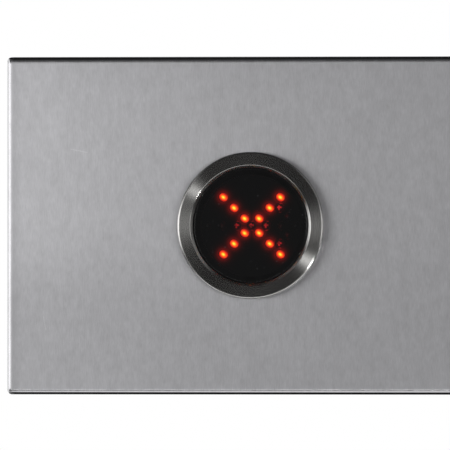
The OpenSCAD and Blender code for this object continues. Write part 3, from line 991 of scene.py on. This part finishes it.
CAN = Moulding(
    "capacitor_sleeve", "capacitor_sleeve", (0.015, 0.025, 0.08), 0.25,
    grain=0.8, relief=0.01, coat=0.4,
)
MASK = Mask("lamp_mask", "mask_black", 0.8)
LIT = LitLamp("lit_lamp", "lit_red_lamp", 9.5)
CLEAR = ClearLamp("clear_lamp", "clear_lamp", 7.0)
BLACK_BOARD = Board("black_board", "black_board", (0.012, 0.014, 0.012), (0.03, 0.032, 0.03), 1.27)
GREEN_BOARD = Board("green_board", "green_board", (0.008, 0.11, 0.04), (0.03, 0.20, 0.07), 2.54)
EARTH = Sleeve("earth_sleeve", "earth_sleeve", (0.05, 0.28, 0.04), (0.78, 0.62, 0.03))


# ---------------------------------------------------------------- mesh building


@dataclass(frozen=True)
class Corner:
    """A corner of a turned profile: radius, place along Y, and how round it is."""

    radius: float
    y: float
    round: float = 0.0

    def point(self) -> Vector:
        """Returns the corner as a point of the profile's plane."""
        return Vector((self.radius, self.y))


def rounded(corners: Sequence[Corner], steps: int = 5) -> list[tuple[float, float]]:
    """Rounds the corners of a profile.

    Args:
        corners: The profile's corners in order.
        steps: Pieces that each rounding is made of.

    Returns:
        Radius and Y of each point.
    """
    points: list[tuple[float, float]] = []
    last = len(corners) - 1
    for i, corner in enumerate(corners):
        here = corner.point()
        if not corner.round or i in (0, last):
            points.append(tuple(here))
            continue
        before, after = corners[i - 1].point() - here, corners[i + 1].point() - here
        reach = min(corner.round, before.length * LONGEST_ROUNDING, after.length * LONGEST_ROUNDING)
        start, end = here + before.normalized() * reach, here + after.normalized() * reach
        for k in range(steps + 1):
            t = k / steps
            points.append(tuple(start * (1 - t) ** 2 + here * 2 * t * (1 - t) + end * t**2))
    return points


def lathe(
    bm: bmesh.types.BMesh, profile: Sequence[tuple[float, float]], sides: int, at: Point = (0, 0, 0)
) -> None:
    """Turns a closed profile about a line along Y and adds it to a mesh.

    Args:
        bm: The mesh to add to, in millimetres.
        profile: Radius and Y of each point; a radius of 0 is a point on the axis.
        sides: How many sides the turned piece has.
        at: Where the axis is.
    """
    rings: list[list[bmesh.types.BMVert]] = []
    for radius, y in profile:
        angles = [2 * math.pi * k / sides for k in range(1 if radius < ON_AXIS else sides)]
        spots = [(at[0] + radius * math.cos(a), at[1] + y, at[2] + radius * math.sin(a)) for a in angles]
        rings.append([bm.verts.new(spot) for spot in spots])
    for first, second in zip(rings, rings[1:] + rings[:1]):
        for k in range(sides):
            n = (k + 1) % sides
            around = ((first, k), (first, n), (second, n), (second, k))
            face = list(dict.fromkeys(ring[i % len(ring)] for ring, i in around))
            if len(face) > 2:
                bm.faces.new(face)


def sweep(bm: bmesh.types.BMesh, path: Sequence[Vector], radius: float, sides: int) -> None:
    """Adds a round rod along a path to a mesh, with closed ends.

    Args:
        bm: The mesh to add to, in millimetres.
        path: The middle line.
        radius: The rod's radius.
        sides: How many sides it has.
    """
    rings: list[list[bmesh.types.BMVert]] = []
    side: Vector | None = None
    for i, here in enumerate(path):
        ahead = (path[min(i + 1, len(path) - 1)] - path[max(i - 1, 0)]).normalized()
        side = ahead.orthogonal() if side is None else side - ahead * side.dot(ahead)
        side.normalize()
        other = ahead.cross(side)
        angles = (2 * math.pi * k / sides for k in range(sides))
        round_it = [side * math.cos(a) + other * math.sin(a) for a in angles]
        rings.append([bm.verts.new(here + way * radius) for way in round_it])
    for first, second in zip(rings, rings[1:]):
        for k in range(sides):
            bm.faces.new((first[k], first[(k + 1) % sides], second[(k + 1) % sides], second[k]))
    bm.faces.new(rings[0][::-1])
    bm.faces.new(rings[-1])


def curve(points: Sequence[Vector], steps: int) -> list[Vector]:
    """Draws a smooth line through points.

    Args:
        points: The points, in order.
        steps: Pieces between one point and the next.

    Returns:
        The line's points.
    """
    path, last = [], len(points) - 1
    for i in range(last * steps + 1):
        k = min(i // steps, last - 1)
        f = i / steps - k
        a, b, c, d = points[max(k - 1, 0)], points[k], points[k + 1], points[min(k + 2, last)]
        bend = (2 * a - 5 * b + 4 * c - d) * f**2 + (3 * b - a - 3 * c + d) * f**3
        path.append(0.5 * (2 * b + (c - a) * f + bend))
    return path


def box_in(bm: bmesh.types.BMesh, low: Point, high: Point) -> None:
    """Adds a plain block to a mesh.

    Args:
        bm: The mesh to add to, in millimetres.
        low: The block's lowest corner.
        high: Its highest corner.
    """
    size, middle = Vector(high) - Vector(low), (Vector(high) + Vector(low)) / 2
    bmesh.ops.create_cube(bm, size=1, matrix=Matrix.Translation(middle) @ Matrix.Diagonal((*size, 1)))


def copied(node: str) -> bmesh.types.BMesh:
    """Copies a CAD node's surface, with its seams closed and flat areas joined.

    Args:
        node: The CAD node's name.

    Returns:
        The mesh, in millimetres.
    """
    source = frame["nodes"][node].data
    bm = bmesh.new()
    verts = [bm.verts.new(v.co / MM) for v in source.vertices]
    for polygon in source.polygons:
        corners = list(dict.fromkeys(verts[i] for i in polygon.vertices))
        if len(corners) > 2:
            try:
                bm.faces.new(corners)
            except ValueError:
                continue
    bmesh.ops.remove_doubles(bm, verts=bm.verts, dist=SEAM)
    bmesh.ops.dissolve_limit(bm, angle_limit=math.radians(FLAT_DEGREES), verts=bm.verts, edges=bm.edges)
    bmesh.ops.recalc_face_normals(bm, faces=bm.faces)
    return bm


def islands(node: str) -> list[tuple[Vector, Vector]]:
    """Finds the separate solids of a CAD node.

    Args:
        node: The CAD node's name.

    Returns:
        Lowest and highest corner of each solid, in millimetres, left to right and then upwards.
    """
    bm = copied(node)
    bm.verts.index_update()
    seen: set[int] = set()
    found = []
    for start in bm.verts:
        if start.index in seen:
            continue
        stack, group = [start], []
        seen.add(start.index)
        while stack:
            vert = stack.pop()
            group.append(vert.co)
            for other in (edge.other_vert(vert) for edge in vert.link_edges):
                if other.index not in seen:
                    seen.add(other.index)
                    stack.append(other)
        found.append(tuple(Vector([pick(c[i] for c in group) for i in range(3)]) for pick in (min, max)))
    bm.free()
    return sorted(found, key=lambda box: (round(box[0].x, 2), round(box[0].z, 2)))


def corner_mm(node: str) -> tuple[Vector, Vector]:
    """Returns the lowest and highest corner of a CAD node, in millimetres."""
    low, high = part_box(node)
    return low / MM, high / MM


def mesh_of(name: str, bm: bmesh.types.BMesh) -> bpy.types.Mesh:
    """Writes an edited mesh into a new mesh of the file.

    Args:
        name: The new mesh's name.
        bm: The edited mesh, in metres, which is freed.

    Returns:
        The new mesh.
    """
    mesh = bpy.data.meshes.new(name)
    bm.to_mesh(mesh)
    bm.free()
    return mesh


def put(name: str, data: bpy.types.ID) -> bpy.types.Object:
    """Puts a new object in the scene.

    Args:
        name: The object's name.
        data: Its mesh, lamp or camera.

    Returns:
        The object.
    """
    obj = bpy.data.objects.new(name, data)
    bpy.context.scene.collection.objects.link(obj)
    return obj


class Maker:
    """Turns meshes into dressed pieces that ride on the CAD bodies."""

    def __init__(self, effects: Effects) -> None:
        """Reads which body each node belongs to.

        Args:
            effects: The shared node groups.
        """
        self.effects = effects
        self.built: dict[Finish, bpy.types.Material] = {}
        bodies = frame["record"]["behaviour"]["bodies"]
        self.body_of = {node: body for body, nodes in bodies.items() for node in nodes}

    def material(self, finish: Finish) -> bpy.types.Material:
        """Looks up a finish's material, and builds it the first time.

        Args:
            finish: The finish.

        Returns:
            The material.
        """
        if finish not in self.built:
            self.built[finish] = finish.build(self.effects)
        return self.built[finish]

    def piece(
        self,
        name: str,
        bm: bmesh.types.BMesh,
        finish: Finish,
        stands_for: str,
        sharp: float = CRISP_DEGREES,
        bevel: float = 0.0,
    ) -> bpy.types.Object:
        """Makes an object of a mesh, dresses it and lets it stand for a CAD node.

        Args:
            name: The piece's name.
            bm: Its mesh, in millimetres, which is freed.
            finish: Its finish.
            stands_for: The CAD node that it replaces.
            sharp: Edges sharper than this many degrees stay crisp.
            bevel: Width of a small bevel along crisp edges, or 0 for none.

        Returns:
            The object.
        """
        bmesh.ops.scale(bm, vec=(MM, MM, MM), verts=bm.verts)
        bmesh.ops.recalc_face_normals(bm, faces=bm.faces)
        mesh = mesh_of(name, bm)
        mesh.polygons.foreach_set("use_smooth", [True] * len(mesh.polygons))
        mesh.set_sharp_from_angle(angle=math.radians(sharp))
        obj = put(name, mesh)
        if bevel:
            edge = obj.modifiers.new("bevel", "BEVEL")
            edge.width, edge.segments, edge.limit_method = bevel * MM, 2, "ANGLE"
            edge.angle_limit, edge.harden_normals = math.radians(sharp), True
        even = obj.modifiers.new("even_normals", "WEIGHTED_NORMAL")
        even.mode, even.keep_sharp = "FACE_AREA", True
        mesh.materials.append(self.material(finish))
        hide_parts(stands_for)
        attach(obj, self.body_of[stands_for])
        LOG.info("%s: %d faces, %s, %s", name, len(mesh.polygons), finish.name, self.body_of[stands_for])
        return obj

    def refine(
        self, finish: Finish, *nodes: str, bevel: float = 0.0, sharp: float = CRISP_DEGREES
    ) -> None:
        """Makes pieces of CAD nodes' own surfaces, smoothed and with small bevels.

        Args:
            finish: Their finish.
            nodes: The CAD nodes.
            bevel: Width of the bevel along crisp edges, or 0 for none.
            sharp: Edges sharper than this many degrees stay crisp.
        """
        for node in nodes:
            self.piece(node + "_finished", copied(node), finish, node, sharp, bevel)


# ---------------------------------------------------------------- sub-assemblies


@dataclass
class SubAssembly:
    """Pieces that belong together, and the maker that dresses them."""

    maker: Maker

    def build(self) -> None:
        """Builds every piece."""
        raise NotImplementedError


@dataclass
class Housing(SubAssembly):
    """The folded cover, its screws, and the back that it closes on."""

    fold_sharp: float = 40.0
    fold_end: float = 2.4
    screw_bevel: float = 0.12
    plate_bevel: float = 0.15
    grommet_waist: float = 2.5
    grommet_wall: float = 6.5
    grommet_sides: int = 72

    def build(self) -> None:
        """Builds every piece of the housing."""
        self.cover()
        self.maker.refine(STAINLESS, "cover_screws", bevel=self.screw_bevel)
        self.maker.refine(PLATED, "cover_nuts", bevel=self.screw_bevel)
        self.maker.refine(MILL, "back_plate", "cover_brackets", bevel=self.plate_bevel)
        self.maker.refine(GASKET, "wall_gasket")
        self.grommet()

    def cover(self) -> None:
        """Builds the folded cover, cut across near its corners so that the folds shade straight."""
        bm = copied("front_cover")
        low, high = corner_mm("front_cover")
        for axis in (0, 2):
            for end in (low[axis] + self.fold_end, high[axis] - self.fold_end):
                across = Vector([float(k == axis) for k in range(3)])
                whole = [*bm.verts, *bm.edges, *bm.faces]
                bmesh.ops.bisect_plane(bm, geom=whole, dist=0.001, plane_co=across * end, plane_no=across)
        self.maker.piece("front_cover_folded", bm, BRUSHED, "front_cover", self.fold_sharp)

    def grommet(self) -> None:
        """Builds the cable grommet: two rounded lips, a waist, and a bore with soft edges."""
        low, high = corner_mm("cable_grommet")
        plate_low, plate_high = corner_mm("back_plate")
        centre = (low + high) / 2
        lip = (high.x - low.x) / 2
        neck, bore = lip - self.grommet_waist, lip - self.grommet_wall
        corners = [
            Corner(bore, centre.y), Corner(bore, low.y, 0.5), Corner(lip, low.y, 1.1),
            Corner(lip, plate_low.y, 0.3), Corner(neck, plate_low.y, 0.15), Corner(neck, plate_high.y, 0.15),
            Corner(lip, plate_high.y, 0.3), Corner(lip, high.y, 1.1), Corner(bore, high.y, 0.5),
            Corner(bore, centre.y),
        ]
        bm = bmesh.new()
        lathe(bm, rounded(corners)[:-1], self.grommet_sides, (centre.x, 0, centre.z))
        self.maker.piece("grommet_moulded", bm, RUBBER, "cable_grommet")


@dataclass
class Bezel(SubAssembly):
    """The turned ring, with what seals and clamps it.

    Each point of the thread's shape is its share of the thread's depth and of its pitch. The key's
    sizes are its width, its length along the barrel, and its height.
    """

    lip: float = 19.8
    bore: float = 21.4
    barrel: float = 23.0
    lip_depth: float = 1.0
    chamfer: float = 0.8
    outer_round: float = 0.9
    flange: float = 2.0
    sheet: float = 1.5
    runout: float = 1.0
    pitch: float = 1.5
    threads: int = 9
    thread_depth: float = 0.7
    thread_shape: tuple[tuple[int, float], ...] = ((0, 0.0), (1, 0.2), (1, 0.5), (0, 0.7))
    key: Point = (2.6, 2.2, 1.1)
    key_root: float = 0.4
    overlap: float = 0.02
    sides: int = 240

    def build(self) -> None:
        """Builds the ring, gasket, washer and nut."""
        self.ring()
        self.maker.refine(RUBBER, "bezel_gasket")
        self.maker.refine(PLATED, "lock_washer", bevel=0.08)
        self.maker.refine(PLATED, "bezel_nut", bevel=0.2)

    def ring(self) -> None:
        """Turns the ring: chamfered mouth, flat face, rounded rim, threaded barrel and key."""
        low, high = corner_mm("bezel_ring")
        front, back, rim = low.y, high.y, high.x
        flange_back = front + self.flange
        lip_back = flange_back + self.lip_depth
        thread_start = corner_mm("front_cover")[0].y + self.sheet + self.runout
        corners = [
            Corner(self.bore, back), Corner(self.bore, lip_back, 0.1), Corner(self.lip, lip_back, 0.1),
            Corner(self.lip, front + self.chamfer, 0.12), Corner(self.lip + self.chamfer, front, 0.13),
            Corner(rim, front, self.outer_round), Corner(rim, flange_back, 0.15),
            Corner(self.barrel, flange_back),
        ]
        for turn in range(self.threads):
            crest = thread_start + turn * self.pitch
            for deep, share in self.thread_shape:
                corners.append(Corner(self.barrel - deep * self.thread_depth, crest + share * self.pitch))
        corners.append(Corner(self.barrel, back))
        bm = bmesh.new()
        lathe(bm, rounded(corners, steps=8), self.sides)
        width, length, height = self.key
        low_end = (-width / 2, flange_back - self.overlap, -self.barrel - height)
        box_in(bm, low_end, (width / 2, flange_back + length, -self.barrel + self.key_root))
        self.maker.piece("bezel_turned", bm, TURNED, "bezel_ring", sharp=28)


@dataclass
class Button(SubAssembly):
    """The lens, its carrier and seal, and the return spring."""

    lens_bevel: float = 0.35
    lens_sides: int = 160
    wire: float = 0.9
    wire_sides: int = 12
    turns: float = 5.0
    dead_turns: float = 0.75
    steps: int = 44
    travel: float = 1.5

    def build(self) -> None:
        """Builds every moving piece of the button and its spring."""
        self.lens()
        self.maker.refine(ACETAL, "lens_carrier", bevel=0.1)
        self.maker.refine(RUBBER, "carrier_o_ring", sharp=60)
        self.spring()

    def lens(self) -> None:
        """Turns the lens with a small polished edge."""
        low, high = corner_mm("lens")
        corners = [
            Corner(0, high.y), Corner(high.x, high.y, 0.1), Corner(high.x, low.y + self.lens_bevel, 0.12),
            Corner(high.x - self.lens_bevel, low.y, 0.15), Corner(0, low.y),
        ]
        bm = bmesh.new()
        lathe(bm, rounded(corners), self.lens_sides)
        self.maker.piece("lens_moulded", bm, LENS, "lens", sharp=25)

    def spring(self) -> None:
        """Winds the spring, closed at both ends, and gives the piece its own copy of the mesh."""
        low, high = corner_mm("return_spring")
        radius = high.z - self.wire / 2
        back, front = high.y - self.wire / 2, low.y + self.wire / 2
        open_turns = self.turns - 2 * self.dead_turns
        dead = self.dead_turns * self.wire
        path = []
        for i in range(int(self.turns * self.steps) + 1):
            t = i / self.steps
            if t < self.dead_turns:
                y = back - t * self.wire
            elif t > self.turns - self.dead_turns:
                y = front + (self.turns - t) * self.wire
            else:
                y = back - dead - (t - self.dead_turns) / open_turns * (back - front - 2 * dead)
            a = 2 * math.pi * t + math.pi / 2
            path.append(Vector((radius * math.cos(a), y, radius * math.sin(a))))
        bm = bmesh.new()
        sweep(bm, path, self.wire / 2, self.wire_sides)
        obj = self.maker.piece("spring_wound", bm, SPRING, "return_spring", sharp=60)
        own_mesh(obj)


@dataclass
class Lamps(SubAssembly):
    """The cross and the arrow of lamps, with their mask and board."""

    body: float = 1.5
    foot: float = 1.6
    foot_height: float = 1.0
    sides: int = 36
    dome_steps: int = 10

    def build(self) -> None:
        """Builds the lamps, mask, board and their screws."""
        self.lamps("cross_lamps", LIT)
        self.lamps("arrow_lamps", CLEAR)
        self.maker.refine(MASK, "lamp_mask")
        self.maker.refine(BLACK_BOARD, "lamp_board")
        self.maker.refine(OXIDE, "lamp_board_screws", bevel=0.06)

    def profile(self, low_y: float, high_y: float) -> list[tuple[float, float]]:
        """Draws one lamp: a stepped foot, a straight body and a dome.

        Args:
            low_y: Y of the dome's tip.
            high_y: Y of the foot on the board.

        Returns:
            Radius and Y of each point.
        """
        step, start = high_y - self.foot_height, low_y + self.body
        angles = [math.pi / 2 * k / self.dome_steps for k in range(self.dome_steps)]
        dome = [(self.body * math.cos(a), start - self.body * math.sin(a)) for a in angles]
        foot = [(0.0, high_y), (self.foot, high_y), (self.foot, step), (self.body, step)]
        return [*foot, *dome, (0.0, low_y)]

    def lamps(self, node: str, finish: Finish) -> None:
        """Builds one set of lamps where the CAD node has them.

        Args:
            node: The CAD node.
            finish: Finish of its lamps.
        """
        bm = bmesh.new()
        for low, high in islands(node):
            centre = (low + high) / 2
            lathe(bm, self.profile(low.y, high.y), self.sides, (centre.x, 0, centre.z))
        self.maker.piece(node + "_domed", bm, finish, node, sharp=40)


@dataclass
class Electronics(SubAssembly):
    """Switch body, boards, switches and terminals."""

    groove: float = 1.6
    groove_depth: float = 0.5
    groove_width: float = 0.9
    crimp: float = 0.9
    crimp_slope: float = 0.2
    dish: float = 0.3
    sides: int = 48
    refined: tuple[tuple[str, Finish, float], ...] = (
        ("switch_body", NYLON, 0.2), ("set_screws", OXIDE, 0.08), ("link_headers", NYLON, 0.08),
        ("link_pins", GOLD, 0.06), ("control_board", GREEN_BOARD, 0.0), ("board_screws", PLATED, 0.1),
        ("switch_cases", NYLON, 0.2), ("switch_plungers", PLUNGER, 0.15), ("switch_pins", GOLD, 0.05),
        ("terminal_block", GREEN, 0.15), ("terminal_screws", PLATED, 0.1), ("driver_chips", EPOXY, 0.2),
    )

    def build(self) -> None:
        """Builds every piece behind the button."""
        for node, finish, bevel in self.refined:
            self.maker.refine(finish, node, bevel=bevel)
        self.capacitor()

    def capacitor(self) -> None:
        """Turns the capacitor: rounded can with a crimp groove near its foot and a dished top."""
        low, high = corner_mm("reservoir_capacitor")
        centre = (low + high) / 2
        radius = (high.x - low.x) / 2
        groove, inner = low.y + self.groove, radius - self.crimp
        corners = [
            Corner(0, low.y), Corner(radius, low.y, 0.3), Corner(radius, groove, 0.3),
            Corner(radius - self.groove_depth, groove + self.groove_width / 2, 0.3),
            Corner(radius, groove + self.groove_width, 0.3), Corner(radius, high.y, 0.5),
            Corner(inner, high.y, 0.15), Corner(inner - self.crimp_slope, high.y - self.dish, 0.1),
            Corner(0, high.y - self.dish),
        ]
        bm = bmesh.new()
        lathe(bm, rounded(corners), self.sides, (centre.x, 0, centre.z))
        self.maker.piece("capacitor_canned", bm, CAN, "reservoir_capacitor")


@dataclass
class EarthBond(SubAssembly):
    """Studs, lugs and nuts, and the lead that joins cover and back plate.

    Each point of the lead's route is its height above the lead's lowest point, and how far it has
    come from the back plate to the cover.
    """

    lead: float = 1.2
    sleeve_share: float = 0.99
    sides: int = 20
    steps: int = 12
    route: tuple[tuple[float, float], ...] = (
        (0, 0), (4, 0), (8, 0), (20, 0.06), (29, 0.22), (33, 0.45),
        (31, 0.68), (24, 0.88), (14, 0.98), (8, 1), (4, 1), (0, 1),
    )

    def build(self) -> None:
        """Builds every piece of the earth bond."""
        self.maker.refine(PLATED, "earth_studs", bevel=0.15)
        self.maker.refine(TIN, "earth_lugs", bevel=0.1)
        self.maker.refine(PLATED, "earth_nuts", bevel=0.25)
        low, high = corner_mm("earth_lead")
        back, front = high.y - self.lead, low.y + self.lead
        x = (low.x + high.x) / 2
        points = [Vector((x, back + share * (front - back), low.z + up)) for up, share in self.route]
        bm = bmesh.new()
        sweep(bm, curve(points, self.steps), self.lead * self.sleeve_share, self.sides)
        self.maker.piece("earth_lead_sleeved", bm, EARTH, "earth_lead", sharp=60)


# ---------------------------------------------------------------- studio


@dataclass(frozen=True)
class Room:
    """How bright the room is in each direction: dark ahead and above, with pale walls to both sides.

    The middle between the two walls is a little left of straight ahead.
    """

    base: float = 0.014
    left: float = 0.7
    far_left: float = 1.1
    right: float = 1.05
    behind: float = 0.65
    upper_sides: float = 0.16
    upper_front: float = 0.05
    low_sides: float = 0.35
    floor_light: float = 0.9
    middle: float = -0.07

    def level(self, g: Graph, direction: Socket) -> Socket:
        """Writes the light level of a direction.

        Args:
            g: The room's tree.
            direction: The way that light comes from, as a vector of length 1.

        Returns:
            The light level.
        """
        x, y, z = g.split(direction)
        wide, high = g.absolute(g.minus(x, self.middle)), g.absolute(z)
        wall = g.plus(
            g.linear(g.span(x, -0.3, 0.3), 0, 1, self.left, self.right),
            g.span(x, -0.7, -0.86, 0.0, self.far_left),
        )
        opening = g.times(g.math("MAXIMUM", g.minus(wide, 0.45), 0.0), 0.5)
        slope = g.math("DIVIDE", high, g.plus(wide, opening))
        walls = g.times(
            g.span(wide, 0.27, 0.47), g.span(slope, 0.38, 0.05),
            g.times(g.span(y, 0.5, 0.1), g.span(x, 0.94, 0.76, 0.1, 1.0)), wall,
        )
        above_walls = g.times(
            g.span(wide, 0.4, 0.6), g.span(z, 0.92, 0.55), g.span(z, 0.1, 0.4, 0.0, self.upper_sides)
        )
        ahead = g.times(
            g.span(z, 0.25, 0.45, 0.0, self.upper_front), g.span(z, 0.95, 0.6), g.span(y, 0.0, -0.3)
        )
        floor = g.times(g.span(z, -0.38, -0.62, 0.0, self.floor_light), g.span(y, -0.28, -0.52))
        floor_sides = g.times(
            g.span(wide, 0.3, 0.5), g.span(z, -0.3, -0.55, 0.0, self.low_sides), g.span(y, -0.15, -0.4)
        )
        behind = g.times(g.span(y, 0.05, 0.4), g.span(high, 0.7, 0.45, 0.0, self.behind))
        return g.plus(self.base, walls, above_walls, ahead, floor, floor_sides, behind)


@dataclass(frozen=True)
class SoftLamp:
    """A soft lamp that shines but isn't seen."""

    name: str
    at: Point
    to: Point
    size: tuple[float, float]
    power: float

    def hang(self) -> None:
        """Hangs the lamp."""
        data = bpy.data.lights.new(self.name, "AREA")
        data.shape, data.energy = "RECTANGLE", self.power
        data.size, data.size_y = self.size[0] * MM, self.size[1] * MM
        obj = put(self.name, data)
        obj.location = Vector(self.at) * MM
        obj.rotation_euler = (Vector(self.to) - Vector(self.at)).to_track_quat("-Z", "Y").to_euler()
        obj.visible_camera = False


@dataclass
class Studio:
    """Room light, soft lamps, the floor and the camera.

    The view is as wide as view_width at the aim, which the camera looks at from the distance.
    """

    room: Room = Room()
    lamps: tuple[SoftLamp, ...] = (
        SoftLamp("left_panel", (-216.0, -250.0, 2.0), (-216.0, -50.0, 2.0), (210.0, 200.0), 0.073),
        SoftLamp("upper_left_panel", (-222.0, -264.0, 26.0), (-222.0, -50.0, 26.0), (214.0, 78.0), 0.0255),
        SoftLamp("far_lamp", (603.0, -1640.0, -464.0), (0.0, -50.0, 0.0), (110.0, 110.0), 3.9),
    )
    floor_drop: float = 460.0
    floor_radius: float = 4000.0
    floor_tone: tuple[float, float] = (0.80, 0.84)
    floor_glow: float = 0.6
    yaw: float = 5.5
    tilt: float = -0.3
    distance: float = 4000.0
    aim: Point = (-8.6, -52.8, 0.2)
    view_width: float = 152.955
    sensor: float = 36.0

    def light(self) -> None:
        """Lights the room and hangs the lamps; the camera sees plain white behind the unit."""
        world = bpy.data.worlds.new("room")
        bpy.context.scene.world = world
        world.use_nodes = True
        g = Graph(world.node_tree)
        level = self.room.level(g, g.add("TexCoord").outputs["Generated"])
        lit = g.add("Background", {"Color": g.join(level, level, level), "Strength": 1.0})
        seen = g.add("Background", {"Color": (1.0, 1.0, 1.0), "Strength": 1.0})
        camera = g.add("LightPath").outputs["Is Camera Ray"]
        both = g.add("MixShader", {0: camera, 1: lit.outputs[0], 2: seen.outputs[0]})
        g.add("OutputWorld", {"Surface": both.outputs[0]})
        world.cycles.sampling_method = "AUTOMATIC"
        for lamp in self.lamps:
            lamp.hang()

    def floor(self) -> None:
        """Lays the plain pale floor well under the unit, which hangs on its back."""
        bm = bmesh.new()
        bmesh.ops.create_circle(bm, cap_ends=True, segments=96, radius=self.floor_radius * MM)
        obj = put("floor", mesh_of("floor", bm))
        obj.location.z = CAD_BOX[0].z - self.floor_drop * MM
        obj.visible_glossy = False
        material = bpy.data.materials.new("pale_floor")
        material.use_nodes = True
        g = Graph(material.node_tree)
        tone = g.linear(g.noise(g.place(), 0.01, 3.0), 0.3, 0.7, *self.floor_tone)
        grey = g.join(tone, tone, tone)
        feeds = {"Base Color": grey, "Emission Color": grey, "Roughness": 0.9}
        feeds["Emission Strength"] = self.floor_glow
        g.add("OutputMaterial", {"Surface": g.add("BsdfPrincipled", feeds).outputs[0]})
        obj.data.materials.append(material)

    def camera(self) -> None:
        """Sets the camera a little to the right of the button's axis and a little below it."""
        yaw, tilt = math.radians(self.yaw), math.radians(self.tilt)
        out = Vector((math.sin(yaw) * math.cos(tilt), -math.cos(yaw) * math.cos(tilt), math.sin(tilt)))
        data = bpy.data.cameras.new("camera")
        data.sensor_width = self.sensor
        data.lens = self.sensor * self.distance / self.view_width
        data.clip_start, data.clip_end = 0.1, 50
        obj = put("camera", data)
        obj.location = (Vector(self.aim) + out * self.distance) * MM
        obj.rotation_euler = (-out).to_track_quat("-Z", "Y").to_euler()
        bpy.context.scene.camera = obj

    def build(self) -> None:
        """Sets up light, floor, camera and plain colour handling."""
        self.light()
        self.floor()
        self.camera()
        bpy.context.scene.view_settings.view_transform = "Standard"


SUB_ASSEMBLIES = (Housing, Bezel, Button, Lamps, Electronics, EarthBond)


def lamp_steps() -> list[float]:
    """Returns how far the lamps of one arm of the cross are from its middle."""
    centres = {round((low.x + high.x) / 2, 2) for low, high in islands("cross_lamps")}
    return sorted(c for c in centres if c > 0)


def main(parts: Iterable[type[SubAssembly]] = SUB_ASSEMBLIES) -> None:
    """Args:
        parts: The sub-assemblies, in the order that they are built.
    """
    logging.basicConfig(level=logging.INFO, format="%(message)s")
    maker = Maker(Effects(lamp_steps()))
    for part in parts:
        part(maker).build()
    Studio().build()


if __name__ == "__main__":
    main()
